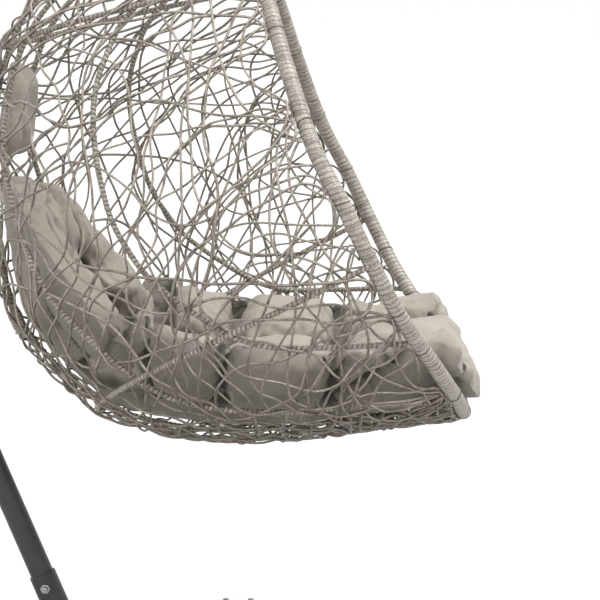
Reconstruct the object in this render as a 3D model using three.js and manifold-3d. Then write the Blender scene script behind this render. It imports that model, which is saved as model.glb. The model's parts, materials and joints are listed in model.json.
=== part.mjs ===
// Hanging egg chair: a woven basket on a C-shaped steel stand, with its hanging hardware and cushions.
// Millimetres, +Z up, +X to the sitter's left, -Y is the open front, origin on the floor at the middle.
import * as THREE from 'three';
import { mergeVertices } from 'three/addons/utils/BufferGeometryUtils.js';
import Module from 'manifold-3d';

const wasm = await Module();
wasm.setup();

// ---------------------------------------------------------------- driving dimensions
const GAP = 0.3; // clearance between pieces that touch

// Stand
const POLE_R = 22.5;
const POLE_WALL = 2;
const SLEEVE_R = 26;
const SLEEVE_BORE = POLE_R + 0.9;
const POLE_LEAN = THREE.MathUtils.degToRad(22.8); // lean of the straight pole, backwards from vertical
const SOCKET_TOP = [250, 225]; // y, z of the socket's upper end on the pole axis
const STRAIGHT_LENGTH = 795; // from the socket's upper end to where the pole begins to curve
const ARC_R = 680;
const ARC_PAST_HANG = 34; // how far the pole's tip reaches past the hanging point
const INSERT_DEPTH = 120; // length of pole inside its socket or sleeve
const SLEEVE_BOLT_OFFSET = 26; // bolt axis below the end of a sleeve
const RING_R = 510; // base ring, to the middle of its tube
const RING_TUBE_R = 21;
const FOOT_HEIGHT = 12;
const FOOT_R = 27;
const FOOT_CRADLE = 4; // how deep the ring sits down in its foot pads
const RING_Z = FOOT_HEIGHT + RING_TUBE_R - FOOT_CRADLE;
const GUSSET = { thickness: 5, rise: 95, frontReach: 85, rearReach: 75, underSocket: 14 };
const BOLT_R = 5;
const RING_BOLT_R = 3.5;
const STRAP_BOLT_R = 4;
const NUT_ACROSS_FLATS = 17;
const NUT_HEIGHT = 8;
const HEAD_HEIGHT = 6.5;

// Basket: stations from the apex (first) to the front lip (last)
const HANG_Y = -92;
const APEX_Z = 1570;
const RIM_R = 14;
const RIM_STEPS = 64;
const ROD_R = 4.5;
const RIM_STATIONS = [ // y, z, half width
  [HANG_Y, APEX_Z, 0], [-137, 1483, 160], [-190, 1345, 282], [-236, 1200, 396], [-286, 1064, 478],
  [-336, 969, 507], [-381, 876, 500], [-431, 780, 462], [-487, 694, 394], [-530, 620, 285], [-558, 549, 0],
];
const KEEL_STATIONS = [ // y, z of the centre rib
  [HANG_Y, APEX_Z], [112, 1454], [278, 1279], [327, 1116], [332, 951],
  [287, 723], [129, 560], [-36, 511], [-211, 511], [-378, 534], [-558, 549],
];
const LAST = RIM_STATIONS.length - 1;
const INNER_RIB = [ // station, degrees round from the centre rib (90 is the rim)
  [1.35, 90], [1.6, 74], [2, 61.5], [2.5, 55.5], [3.2, 52.5], [4, 53], [4.7, 56], [5.4, 60.5], [6.1, 65],
  [6.75, 74.5], [7.55, 90],
];
const OUTER_RIB = [
  [0.7, 90], [1.1, 50], [1.6, 34], [2.2, 25], [3, 22], [3.9, 25.5], [4.7, 32.5], [5.4, 38.5], [6.2, 41],
  [7, 47], [8, 62], [8.7, 74], [9.3, 90],
];
const HOOPS = { // station at the centre rib and at the rim, and how far it sags towards the apex between
  hoop_upper: [2.3, 2.0, 0],
  hoop_lower: [6.05, 6.0, 0.2],
};
const HOOP_OFFSET = 2 * ROD_R + 2 * GAP; // hoops cross outside the ribs
const WEAVE_CLEARANCE = 3; // the weave's flat facets dip this far towards the hoops
const WEAVE_INNER = HOOP_OFFSET + ROD_R + WEAVE_CLEARANCE;
const WEAVE_THICKNESS = 2.5;
const WEAVE_FIELDS = { upper: [0.5, 3.4], middle: [3.4, 6.4], lower: [6.4, 9.6] };

// Cushions
const CUSHION_CLEARANCE = 12;
const CORNER_CUT = 0.28; // 0 is a square outline, 0.5 a round one
const SEAT = { centreY: -262, halfDepth: 332, halfWidth: 398, thickness: 128, rearLean: 75 };
const BACK = { stations: [3.75, 5.75], rise: 0.3, halfAngles: [24, 50], thickness: 116 };
const PILLOW = { stations: [2.35, 3.65], rise: 0, halfAngles: [22, 22], thickness: 46 };

// Hanging hardware: heights of rod centres, built up from the basket's apex
const WIRE_R = 4.5;
const RING_LOOP_R = 15;
const HOOK_LOOP_R = 14;
const EYE_LOOP_R = 14;
const CARABINER_ROD_R = 5;
const CARABINER_HALF = 16;
const EYE_BAR_R = 6;
const SPRING_R = 20;
const SPRING_WIRE_R = 3;
const SPRING_TURNS = 8;
const BASKET_RING_Z = APEX_Z + RIM_R + GAP + WIRE_R + RING_LOOP_R;
const HOOK_Z = BASKET_RING_Z + RING_LOOP_R - 2 * WIRE_R - 2 * GAP + HOOK_LOOP_R;
const HOUSING_BOTTOM = HOOK_Z + HOOK_LOOP_R + 12;
const HOUSING_TOP = HOUSING_BOTTOM + 22;
const COIL_BOTTOM = HOUSING_TOP + 2;
const COIL_TOP = COIL_BOTTOM + 92;
const SPRING_EYE_Z = COIL_TOP + 10 + EYE_LOOP_R + WIRE_R;
const CARABINER_BOTTOM = SPRING_EYE_Z + EYE_LOOP_R - WIRE_R - CARABINER_ROD_R - 1.5;
const CARABINER_TOP = CARABINER_BOTTOM + 68;
const EYE_BAR_Z = CARABINER_TOP - CARABINER_ROD_R - EYE_BAR_R - GAP;

// ---------------------------------------------------------------- materials
const MATERIALS = {
  steel: new THREE.MeshStandardMaterial({ color: 0x4b4d4c, roughness: 0.45, metalness: 0.3 }),
  zinc: new THREE.MeshStandardMaterial({ color: 0xb9bcbd, roughness: 0.35, metalness: 0.9 }),
  wicker: new THREE.MeshStandardMaterial({ color: 0xa0968a, roughness: 0.7, metalness: 0 }),
  fabric: new THREE.MeshStandardMaterial({ color: 0xa8a094, roughness: 0.95, metalness: 0 }),
  plastic: new THREE.MeshStandardMaterial({ color: 0x222222, roughness: 0.6, metalness: 0 }),
};

const chair = new THREE.Group();

function addMesh(name, geometry, material) {
  const mesh = new THREE.Mesh(geometry, MATERIALS[material]);
  mesh.name = name;
  chair.add(mesh);
  return mesh;
}

// ---------------------------------------------------------------- solid helpers
function toManifold(geometry) {
  const bare = geometry.clone();
  bare.deleteAttribute('normal');
  bare.deleteAttribute('uv');
  const merged = mergeVertices(bare, 1e-3);
  return new wasm.Manifold(new wasm.Mesh({
    numProp: 3,
    vertProperties: new Float32Array(merged.attributes.position.array),
    triVerts: new Uint32Array(merged.index.array),
  }));
}

function fromManifold(solid) {
  const mesh = solid.getMesh();
  const geometry = new THREE.BufferGeometry();
  geometry.setAttribute('position', new THREE.BufferAttribute(new Float32Array(mesh.vertProperties), 3));
  geometry.setIndex(new THREE.BufferAttribute(new Uint32Array(mesh.triVerts), 1));
  geometry.computeVertexNormals();
  return geometry;
}

function cut(geometry, ...tools) {
  return fromManifold(tools.reduce((solid, tool) => solid.subtract(toManifold(tool)), toManifold(geometry)));
}

function join(...pieces) {
  return fromManifold(pieces.map(toManifold).reduce((sum, piece) => sum.add(piece)));
}

// Largest piece of a cut solid: what lies past the cutting tool is dropped.
function largestPart(geometry) {
  const parts = toManifold(geometry).decompose();
  return fromManifold(parts.reduce((best, part) => (part.volume() > best.volume() ? part : best)));
}

function regularShape(radius, sides, innerRadius = 0) {
  const ring = (r) => Array.from({ length: sides }, (_, i) => {
    const angle = (2 * Math.PI * (i + 0.5)) / sides;
    return new THREE.Vector2(r * Math.cos(angle), r * Math.sin(angle));
  });
  const shape = new THREE.Shape(ring(radius));
  if (innerRadius > 0) shape.holes.push(new THREE.Path(ring(innerRadius).reverse()));
  return shape;
}

// Round bar or tube swept along a curve.
function sweep(curve, radius, steps, sides = 8, innerRadius = 0) {
  return new THREE.ExtrudeGeometry(regularShape(radius, sides, innerRadius), {
    steps, extrudePath: curve, bevelEnabled: false,
  });
}

// Round bar swept round a closed curve, so it has no ends.
function sweepLoop(curve, radius, steps, sides = 8) {
  const centres = curve.getSpacedPoints(steps);
  const { normals, binormals } = curve.computeFrenetFrames(steps, true);
  const positions = [];
  const faces = [];
  const at = (i, j) => (i % steps) * sides + (j % sides);
  for (let i = 0; i < steps; i += 1) {
    for (let j = 0; j < sides; j += 1) {
      const angle = (2 * Math.PI * (j + 0.5)) / sides;
      const p = centres[i].clone().addScaledVector(normals[i], radius * Math.cos(angle));
      p.addScaledVector(binormals[i], radius * Math.sin(angle));
      positions.push(p.x, p.y, p.z);
      faces.push(at(i, j), at(i + 1, j), at(i + 1, j + 1), at(i, j), at(i + 1, j + 1), at(i, j + 1));
    }
  }
  return outward(indexed(positions, faces));
}

function straight(from, to, radius, sides = 12, innerRadius = 0) {
  return sweep(new THREE.LineCurve3(from, to), radius, 1, sides, innerRadius);
}

// Closed solid between two grids of points, grid[i][j]; lower and upper grids share one layout.
function slab(lower, upper) {
  const rows = lower.length;
  const columns = lower[0].length;
  const positions = [...lower.flat(), ...upper.flat()].flatMap((p) => [p.x, p.y, p.z]);
  const at = (layer, i, j) => layer * rows * columns + i * columns + j;
  const faces = [];
  const quad = (a, b, c, d) => faces.push(a, b, c, a, c, d);
  for (let i = 0; i < rows - 1; i += 1) {
    for (let j = 0; j < columns - 1; j += 1) {
      quad(at(0, i, j), at(0, i, j + 1), at(0, i + 1, j + 1), at(0, i + 1, j));
      quad(at(1, i, j), at(1, i + 1, j), at(1, i + 1, j + 1), at(1, i, j + 1));
    }
  }
  for (let i = 0; i < rows - 1; i += 1) {
    quad(at(0, i, 0), at(0, i + 1, 0), at(1, i + 1, 0), at(1, i, 0));
    quad(at(0, i, columns - 1), at(1, i, columns - 1), at(1, i + 1, columns - 1), at(0, i + 1, columns - 1));
  }
  for (let j = 0; j < columns - 1; j += 1) {
    quad(at(0, 0, j), at(1, 0, j), at(1, 0, j + 1), at(0, 0, j + 1));
    quad(at(0, rows - 1, j), at(0, rows - 1, j + 1), at(1, rows - 1, j + 1), at(1, rows - 1, j));
  }
  return outward(indexed(positions, faces));
}

function indexed(positions, faces) {
  const geometry = new THREE.BufferGeometry();
  geometry.setAttribute('position', new THREE.Float32BufferAttribute(positions, 3));
  geometry.setIndex(faces);
  return geometry;
}

// Turns the faces round if they point inwards, by the sign of the enclosed volume.
function outward(geometry) {
  const p = geometry.attributes.position;
  const index = Array.from(geometry.index.array);
  const corner = (k) => new THREE.Vector3().fromBufferAttribute(p, index[k]);
  let volume = 0;
  for (let k = 0; k < index.length; k += 3) volume += corner(k).dot(corner(k + 1).cross(corner(k + 2)));
  if (volume < 0) {
    for (let k = 0; k < index.length; k += 3) [index[k], index[k + 1]] = [index[k + 1], index[k]];
    geometry.setIndex(index);
  }
  return geometry;
}

const vec = (x, y, z) => new THREE.Vector3(x, y, z);
const range = (count, make) => Array.from({ length: count }, (_, i) => make(i));
const mix = THREE.MathUtils.lerp;

// ---------------------------------------------------------------- basket surface
const rightRim = RIM_STATIONS.map(([y, z, half]) => vec(half, y, z));
const leftRim = RIM_STATIONS.slice(1, LAST).reverse().map(([y, z, half]) => vec(-half, y, z));
const rimCurve = new THREE.CatmullRomCurve3([...rightRim, ...leftRim], true, 'centripetal');
const keelCurve = new THREE.CatmullRomCurve3(
  KEEL_STATIONS.map(([y, z]) => vec(0, y, z)), false, 'centripetal',
);

// Each station's section is a half ellipse from rim to rim through the centre rib.
function basketPoint(station, degrees) {
  const rim = rimCurve.getPoint(station / LAST / 2);
  const keel = keelCurve.getPoint(station / LAST);
  const angle = THREE.MathUtils.degToRad(degrees);
  const c = Math.cos(angle);
  return vec(rim.x * Math.sin(angle), mix(rim.y, keel.y, c), mix(rim.z, keel.z, c));
}

function basketNormal(station, degrees) {
  const s = Math.min(Math.max(station, 0.1), LAST - 0.1);
  const along = basketPoint(s + 0.05, degrees).sub(basketPoint(s - 0.05, degrees));
  const across = basketPoint(s, degrees + 1).sub(basketPoint(s, degrees - 1));
  return across.cross(along).normalize();
}

function offsetPoint(station, degrees, distance) {
  return basketPoint(station, degrees).addScaledVector(basketNormal(station, degrees), distance);
}

// Smooth curve through [station, degrees] pairs, laid on the basket surface; side is 1 or -1.
function ribCurve(route, side) {
  const guide = new THREE.CatmullRomCurve3(route.map(([s, a]) => vec(s, a, 0)));
  return new THREE.CatmullRomCurve3(range(41, (i) => {
    const g = guide.getPoint(i / 40);
    const p = basketPoint(g.x, g.y);
    return vec(p.x * side, p.y, p.z);
  }));
}

function hoopCurve([keelStation, rimStation, sag]) {
  return new THREE.CatmullRomCurve3(range(49, (i) => {
    const degrees = mix(-90, 90, i / 48);
    const angle = THREE.MathUtils.degToRad(Math.abs(degrees));
    const station = mix(keelStation, rimStation, Math.sin(angle) ** 2) - sag * Math.sin(2 * angle);
    return offsetPoint(station, degrees, HOOP_OFFSET);
  }));
}

// ---------------------------------------------------------------- basket
function buildBasketFrame() {
  const rim = sweepLoop(rimCurve, RIM_R, RIM_STEPS);
  const rimSpace = sweepLoop(rimCurve, RIM_R + 2 * GAP, RIM_STEPS);
  addMesh('rim_tube', rim, 'wicker');
  const rod = (name, curve, steps) => {
    addMesh(name, largestPart(cut(sweep(curve, ROD_R, steps, 6), rimSpace)), 'wicker');
  };
  rod('centre_rib', keelCurve, 36);
  for (const [sideName, side] of [['left', 1], ['right', -1]]) {
    rod(`inner_rib_${sideName}`, ribCurve(INNER_RIB, side), 30);
    rod(`outer_rib_${sideName}`, ribCurve(OUTER_RIB, side), 32);
  }
  for (const [name, hoop] of Object.entries(HOOPS)) rod(name, hoopCurve(hoop), 34);
  for (const [field, [first, last]] of Object.entries(WEAVE_FIELDS)) {
    for (const [sideName, side] of [['left', 1], ['right', -1]]) {
      const count = 11;
      const grid = (distance) => range(count, (i) => range(count, (j) => {
        const station = mix(first + 0.004, last - 0.004, i / (count - 1));
        const p = offsetPoint(station, mix(0.15, 90, j / (count - 1)), distance);
        return vec(p.x * side, p.y, p.z);
      }));
      const skin = slab(grid(WEAVE_INNER), grid(WEAVE_INNER + WEAVE_THICKNESS));
      addMesh(`weave_${field}_${sideName}`, largestPart(cut(skin, rimSpace)), 'wicker');
    }
  }
}

// ---------------------------------------------------------------- cushions
// Maps a square's grid position to a round-cornered outline, both -1..1.
function roundedOutline(a, b) {
  return [a * Math.sqrt(1 - CORNER_CUT * b * b), b * Math.sqrt(1 - CORNER_CUT * a * a)];
}

function crown(a, b) {
  const edge = Math.max(Math.abs(a), Math.abs(b));
  return 0.34 + 0.66 * Math.sqrt(1 - edge ** 4);
}

function wallCushion({ stations: [first, last], rise, halfAngles: [top, bottom], thickness }) {
  const count = 11;
  const grid = (share) => range(count, (i) => range(count, (j) => {
    const a = mix(-1, 1, i / (count - 1));
    const b = mix(-1, 1, j / (count - 1));
    const [along, across] = roundedOutline(a, b);
    const down = (along + 1) / 2;
    const station = mix(first, last - rise * across ** 2, down);
    const depth = CUSHION_CLEARANCE + share * thickness * crown(a, b);
    return offsetPoint(station, across * mix(top, bottom, down), -depth);
  }));
  return slab(grid(0), grid(1));
}

// Height of the basket's floor under a point, found along the stations by halving.
function floorHeight(x, y) {
  let near = 4;
  let far = LAST;
  let point;
  for (let step = 0; step < 30; step += 1) {
    const middle = (near + far) / 2;
    const half = rimCurve.getPoint(middle / LAST / 2).x;
    const degrees = THREE.MathUtils.radToDeg(Math.asin(Math.min(1, Math.abs(x) / half)));
    point = basketPoint(middle, degrees);
    if (point.y > y) near = middle;
    else far = middle;
  }
  return point.z;
}

// The rim's point on its lower front part with the given half width.
function rimAtHalfWidth(x) {
  let near = 5;
  let far = LAST;
  for (let step = 0; step < 30; step += 1) {
    const middle = (near + far) / 2;
    if (rimCurve.getPoint(middle / LAST / 2).x > Math.abs(x)) near = middle;
    else far = middle;
  }
  return rimCurve.getPoint(near / LAST / 2);
}

function seatUnderside(x, y) {
  const floor = floorHeight(Math.abs(x) + 1.6 * CUSHION_CLEARANCE, y + CUSHION_CLEARANCE);
  const inside = floor + CUSHION_CLEARANCE;
  const rim = rimAtHalfWidth(x);
  const overRim = rim.z + RIM_R + CUSHION_CLEARANCE / 2;
  return y < rim.y + 3 * RIM_R ? Math.max(inside, overRim) : inside;
}

function seatCushion() {
  const count = 13;
  const grid = (share) => range(count, (i) => range(count, (j) => {
    const a = mix(-1, 1, i / (count - 1));
    const b = mix(-1, 1, j / (count - 1));
    const [across, along] = roundedOutline(a, b);
    const x = across * SEAT.halfWidth;
    const lean = SEAT.rearLean * (1 - share) * Math.max(0, along) ** 4;
    const y = SEAT.centreY + along * SEAT.halfDepth + lean;
    return vec(x, y, seatUnderside(x, y) + share * SEAT.thickness * crown(a, b));
  }));
  return slab(grid(0), grid(1));
}

function buildCushions() {
  addMesh('seat_cushion', seatCushion(), 'fabric');
  addMesh('back_cushion', wallCushion(BACK), 'fabric');
  addMesh('head_pillow', wallCushion(PILLOW), 'fabric');
}

// ---------------------------------------------------------------- stand
const poleUp = vec(0, Math.sin(POLE_LEAN), Math.cos(POLE_LEAN));
const poleAcross = vec(0, -Math.cos(POLE_LEAN), Math.sin(POLE_LEAN)); // square to it, towards the front
const socketTop = vec(0, ...SOCKET_TOP);
const onPole = (distance) => socketTop.clone().addScaledVector(poleUp, distance);
const arcStart = onPole(STRAIGHT_LENGTH);
const arcCentre = arcStart.clone().addScaledVector(poleAcross, ARC_R);
const arcFirst = Math.atan2(arcStart.z - arcCentre.z, arcStart.y - arcCentre.y);
const arcLast = Math.acos((HANG_Y - ARC_PAST_HANG - arcCentre.y) / ARC_R);
const arcPoint = (angle) => arcCentre.clone().add(vec(0, ARC_R * Math.cos(angle), ARC_R * Math.sin(angle)));
const poleRear = arcCentre.y + ARC_R + POLE_R;
const ringCentreY = RING_R + RING_TUBE_R - poleRear; // keeps the origin at the middle of the outline
const sleeveMiddle = STRAIGHT_LENGTH - INSERT_DEPTH / 2 - 20;

// The pole's centre line from a distance along it, measured from the socket's upper end, to its tip.
function poleCurve(from) {
  const bendFrom = Math.max(0, from - STRAIGHT_LENGTH) / ARC_R;
  const bend = range(17, (i) => arcPoint(mix(arcFirst + bendFrom, arcLast, i / 16)));
  return new THREE.CatmullRomCurve3(from < STRAIGHT_LENGTH ? [onPole(from), ...bend] : bend);
}

const poleLength = STRAIGHT_LENGTH + ARC_R * (arcLast - arcFirst);
const upperPoleCurve = poleCurve(sleeveMiddle + GAP);

// A bar across the pole along X at a distance along it.
function crossBar(distance, radius, fromX, toX, sides = 12) {
  const middle = onPole(distance);
  return straight(vec(fromX, middle.y, middle.z), vec(toX, middle.y, middle.z), radius, sides);
}

function buildPoleBolt(name, distance, tubeR) {
  const hexR = NUT_ACROSS_FLATS / Math.sqrt(3);
  const seat = tubeR + GAP;
  const shank = crossBar(distance, BOLT_R, -seat - NUT_HEIGHT - 5, seat + 1);
  const head = crossBar(distance, hexR, seat, seat + HEAD_HEIGHT, 6);
  addMesh(`${name}_bolt`, join(shank, head), 'zinc');
  const nut = crossBar(distance, hexR, -seat - NUT_HEIGHT, -seat, 6);
  addMesh(`${name}_nut`, cut(nut, crossBar(distance, BOLT_R + GAP, -seat - 20, 0)), 'zinc');
}

function buildPole() {
  const socketBolt = -SLEEVE_BOLT_OFFSET;
  const sleeveBolts = [sleeveMiddle - 34, sleeveMiddle + 34];
  const hole = (distance) => crossBar(distance, BOLT_R + GAP, -2 * SLEEVE_R, 2 * SLEEVE_R);
  const beam = beamTube(RING_TUBE_R + GAP, 0);

  const toBeam = (socketTop.z - RING_Z) / Math.cos(POLE_LEAN);
  const socketTube = straight(onPole(-toBeam), socketTop, SLEEVE_R, 16, SLEEVE_BORE);
  addMesh('base_socket', largestPart(cut(socketTube, beam, hole(socketBolt))), 'steel');
  const lower = straight(onPole(-INSERT_DEPTH), onPole(sleeveMiddle - GAP), POLE_R, 16, POLE_R - POLE_WALL);
  addMesh('pole_lower', cut(lower, hole(socketBolt), hole(sleeveBolts[0])), 'steel');
  const sleeve = straight(
    onPole(sleeveMiddle - INSERT_DEPTH / 2), onPole(sleeveMiddle + INSERT_DEPTH / 2),
    SLEEVE_R, 16, SLEEVE_BORE,
  );
  addMesh('pole_sleeve', cut(sleeve, ...sleeveBolts.map(hole)), 'steel');
  const upper = sweep(upperPoleCurve, POLE_R, 36, 12, POLE_R - POLE_WALL);
  addMesh('pole_upper', cut(upper, hole(sleeveBolts[1])), 'steel');

  buildPoleBolt('socket', socketBolt, SLEEVE_R);
  buildPoleBolt('sleeve_lower', sleeveBolts[0], SLEEVE_R);
  buildPoleBolt('sleeve_upper', sleeveBolts[1], SLEEVE_R);
}

// Domed plug in the pole's open tip.
function buildEndCap() {
  const bore = POLE_R - POLE_WALL - 2.4;
  const profile = [
    [0, -16], [bore, -16], [bore, GAP], [POLE_R, GAP], [POLE_R, 3], [POLE_R - 8, 6.5], [0, 8],
  ];
  const cap = new THREE.LatheGeometry(profile.map(([r, y]) => new THREE.Vector2(r, y)), 16);
  const mesh = addMesh('pole_end_cap', cap, 'plastic');
  mesh.position.copy(arcPoint(arcLast));
  mesh.quaternion.setFromUnitVectors(vec(0, 1, 0), upperPoleCurve.getTangent(1));
}

// U-shaped bar welded under the pole; the carabiner hangs on its lower run.
function buildHangingEye() {
  const legY = 21;
  const bend = 10;
  const top = arcCentre.z + ARC_R - POLE_R + 8;
  const points = [
    vec(0, HANG_Y + legY, top), vec(0, HANG_Y + legY, EYE_BAR_Z + bend),
    vec(0, HANG_Y + legY - bend * 0.3, EYE_BAR_Z + bend * 0.3), vec(0, HANG_Y + legY - bend, EYE_BAR_Z),
    vec(0, HANG_Y - legY + bend, EYE_BAR_Z), vec(0, HANG_Y - legY + bend * 0.3, EYE_BAR_Z + bend * 0.3),
    vec(0, HANG_Y - legY, EYE_BAR_Z + bend), vec(0, HANG_Y - legY, top),
  ];
  const eye = sweep(smoothPath(points), EYE_BAR_R, 28, 8);
  const poleSpace = sweep(poleCurve(poleLength - 160), POLE_R + 3 * GAP, 24, 24);
  addMesh('hanging_eye', largestPart(cut(eye, poleSpace)), 'steel');
}

// Rounded path through points, close to their straight runs.
function smoothPath(points) {
  return new THREE.CatmullRomCurve3(points, false, 'centripetal');
}

function beamTube(radius, innerRadius) {
  return straight(
    vec(0, ringCentreY - RING_R, RING_Z), vec(0, ringCentreY + RING_R, RING_Z), radius, 12, innerRadius,
  );
}

function ringArc(from, to) {
  return new THREE.CatmullRomCurve3(range(25, (i) => {
    const angle = THREE.MathUtils.degToRad(mix(from, to, i / 24));
    return vec(RING_R * Math.cos(angle), ringCentreY + RING_R * Math.sin(angle), RING_Z);
  }));
}

// Tube along an arc of the base ring, by its angles in degrees; the joints lie at the two sides.
function ringTube(from, to, radius, innerRadius, steps) {
  return sweep(ringArc(from, to), radius, steps, 8, innerRadius);
}

function buildBase() {
  const wall = RING_TUBE_R - 2;
  const jointGap = 0.4; // degrees between the two halves
  const boltAngle = 3;
  const ringBolt = (angle) => {
    const a = THREE.MathUtils.degToRad(angle);
    return [RING_R * Math.cos(a), ringCentreY + RING_R * Math.sin(a)];
  };
  const stud = (x, y, radius, low, high, sides) => straight(vec(x, y, low), vec(x, y, high), radius, sides);
  const boltPlaces = {
    ring_left_front: ringBolt(-boltAngle), ring_left_rear: ringBolt(boltAngle),
    ring_right_front: ringBolt(180 + boltAngle), ring_right_rear: ringBolt(180 - boltAngle),
  };
  const holes = Object.values(boltPlaces).map(([x, y]) => stud(x, y, RING_BOLT_R + GAP, 0, 2 * RING_Z));
  const halves = {
    base_ring_rear: [jointGap / 2, 180 - jointGap / 2],
    base_ring_front: [180 + jointGap / 2, 360 - jointGap / 2],
  };
  for (const [name, [from, to]] of Object.entries(halves)) {
    addMesh(name, cut(ringTube(from, to, RING_TUBE_R, wall, 16), ...holes), 'steel');
  }
  for (const [name, middle] of [['left', 0], ['right', 180]]) {
    const plug = ringTube(middle - 6, middle + 6, wall - 4, 0, 4);
    addMesh(`ring_coupler_${name}`, cut(plug, ...holes), 'steel');
  }
  for (const [name, [x, y]] of Object.entries(boltPlaces)) {
    const top = RING_Z + RING_TUBE_R + GAP;
    const head = stud(x, y, 6.5, top, top + 4, 6);
    addMesh(`${name}_bolt`, join(head, stud(x, y, RING_BOLT_R, RING_Z - 12, top + 1, 10)), 'zinc');
  }

  const ringSpace = [0, 180].map((start) => ringTube(start, start + 180, RING_TUBE_R + GAP, 0, 16));
  addMesh('base_beam', largestPart(cut(beamTube(RING_TUBE_R, wall), ...ringSpace)), 'steel');
  buildStraps();
  buildGusset();
  buildFeet(ringSpace);
}

// Flat strap over each end of the beam, bolted down onto the ring.
function buildStraps() {
  const [width, length, thickness] = [46, 132, 4];
  const strapTop = RING_Z + RING_TUBE_R + GAP;
  for (const [name, side] of [['front', -1], ['rear', 1]]) {
    const strap = new THREE.BoxGeometry(width, length, thickness);
    strap.translate(0, ringCentreY + side * (RING_R - 48), strapTop + thickness / 2);
    const boltY = [ringCentreY + side * RING_R, ringCentreY + side * (RING_R - 96)];
    const holes = boltY.map((y) => straight(vec(0, y, 0), vec(0, y, 90), STRAP_BOLT_R + GAP));
    addMesh(`beam_strap_${name}`, cut(strap, ...holes), 'steel');
    boltY.forEach((y, i) => {
      const headBottom = strapTop + thickness + GAP;
      const head = straight(vec(0, y, headBottom), vec(0, y, headBottom + 4.7), 7, 6);
      const shank = straight(vec(0, y, strapTop + GAP), vec(0, y, headBottom + 1), STRAP_BOLT_R, 10);
      addMesh(`beam_strap_${name}_bolt_${i + 1}`, join(head, shank), 'zinc');
    });
  }
}

// Two triangular plates that stiffen the socket on the beam, one in front and one behind.
function buildGusset() {
  const { thickness, rise, frontReach, rearReach, underSocket } = GUSSET;
  const beamTop = RING_Z + RING_TUBE_R + GAP;
  const foot = socketTop.y - (socketTop.z - beamTop) * Math.tan(POLE_LEAN);
  const sleeveHalf = (SLEEVE_R + GAP) / Math.cos(POLE_LEAN);
  const [front, rear] = [foot - sleeveHalf, foot + sleeveHalf];
  const lean = rise * Math.tan(POLE_LEAN);
  const plates = {
    socket_gusset_front: [[front - frontReach, beamTop], [front + underSocket, beamTop],
      [front + underSocket + lean, beamTop + rise]],
    socket_gusset_rear: [[rear - underSocket, beamTop], [rear + rearReach, beamTop],
      [rear - underSocket + lean, beamTop + rise]],
  };
  const socketSpace = straight(onPole(-300), onPole(20), SLEEVE_R + GAP, 16);
  for (const [name, outline] of Object.entries(plates)) {
    const shape = new THREE.Shape(outline.map(([y, z]) => new THREE.Vector2(y, z)));
    const plate = new THREE.ExtrudeGeometry(shape, { depth: thickness, bevelEnabled: false });
    plate.applyMatrix4(new THREE.Matrix4().makeBasis(vec(0, 1, 0), vec(0, 0, 1), vec(1, 0, 0)));
    plate.translate(-thickness / 2, 0, 0);
    addMesh(name, largestPart(cut(plate, socketSpace)), 'steel');
  }
}

// Rubber foot pads under the ring, hollowed to the tube.
function buildFeet(ringSpace) {
  const places = { front_left: -45, rear_left: 45, rear_right: 135, front_right: 225 };
  for (const [name, degrees] of Object.entries(places)) {
    const angle = THREE.MathUtils.degToRad(degrees);
    const height = FOOT_HEIGHT + 6;
    const pad = new THREE.CylinderGeometry(FOOT_R - 3, FOOT_R, height, 16);
    pad.rotateX(Math.PI / 2);
    pad.translate(RING_R * Math.cos(angle), ringCentreY + RING_R * Math.sin(angle), height / 2);
    addMesh(`foot_${name}`, largestPart(cut(pad, ...ringSpace)), 'plastic');
  }
}

// ---------------------------------------------------------------- hanging hardware
const hangPoint = (x, y, z) => vec(x, HANG_Y + y, z);

// Round ring of wire in the plane square to the given axis.
function wireRing(radius, wire, centreZ, inYZ) {
  const points = range(16, (i) => {
    const a = (2 * Math.PI * i) / 16;
    const [p, q] = [radius * Math.cos(a), radius * Math.sin(a)];
    return inYZ ? hangPoint(0, p, centreZ + q) : hangPoint(p, 0, centreZ + q);
  });
  return sweepLoop(new THREE.CatmullRomCurve3(points, true), wire, 16);
}

function buildCarabiner() {
  const half = CARABINER_HALF;
  const low = CARABINER_BOTTOM + half;
  const high = CARABINER_TOP - half;
  const arc = (z, from, to) => range(9, (i) => {
    const a = THREE.MathUtils.degToRad(mix(from, to, i / 8));
    return hangPoint(half * Math.cos(a), 0, z + half * Math.sin(a));
  });
  // Open on +X, where the gate closes it: from the gate's hinge round the bottom, back and top to the nose.
  const route = [...arc(low, 10, -180), hangPoint(-half, 0, (low + high) / 2), ...arc(high, 180, 5)];
  const body = sweep(smoothPath(route), CARABINER_ROD_R, 32, 8);
  const hinge = hangPoint(half, 0, low + 2);
  const pinBar = (radius, reach) => straight(
    vec(hinge.x, hinge.y - reach, hinge.z), vec(hinge.x, hinge.y + reach, hinge.z), radius, 10,
  );
  const slot = new THREE.BoxGeometry(16, 5 + 2 * GAP, 18);
  slot.translate(hinge.x, hinge.y, hinge.z + 2);
  addMesh('carabiner_body', largestPart(cut(body, slot, pinBar(1.5 + GAP, 12))), 'zinc');
  addMesh('gate_pin', pinBar(1.5, 4.9), 'zinc');

  const gateTop = high - 2.5;
  const bar = straight(vec(hinge.x, hinge.y, hinge.z + 12), vec(hinge.x, hinge.y, gateTop), 4.2, 8);
  const tongue = new THREE.BoxGeometry(7, 5, 20);
  tongue.translate(hinge.x, hinge.y, hinge.z + 6);
  addMesh('carabiner_gate', cut(join(bar, tongue), pinBar(1.5 + GAP, 12)), 'zinc');
}

function turned(profile, sides = 16) {
  const lathe = new THREE.LatheGeometry(profile.map(([r, z]) => new THREE.Vector2(r, z)), sides);
  lathe.rotateX(Math.PI / 2);
  lathe.translate(0, HANG_Y, 0);
  return lathe;
}

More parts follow.
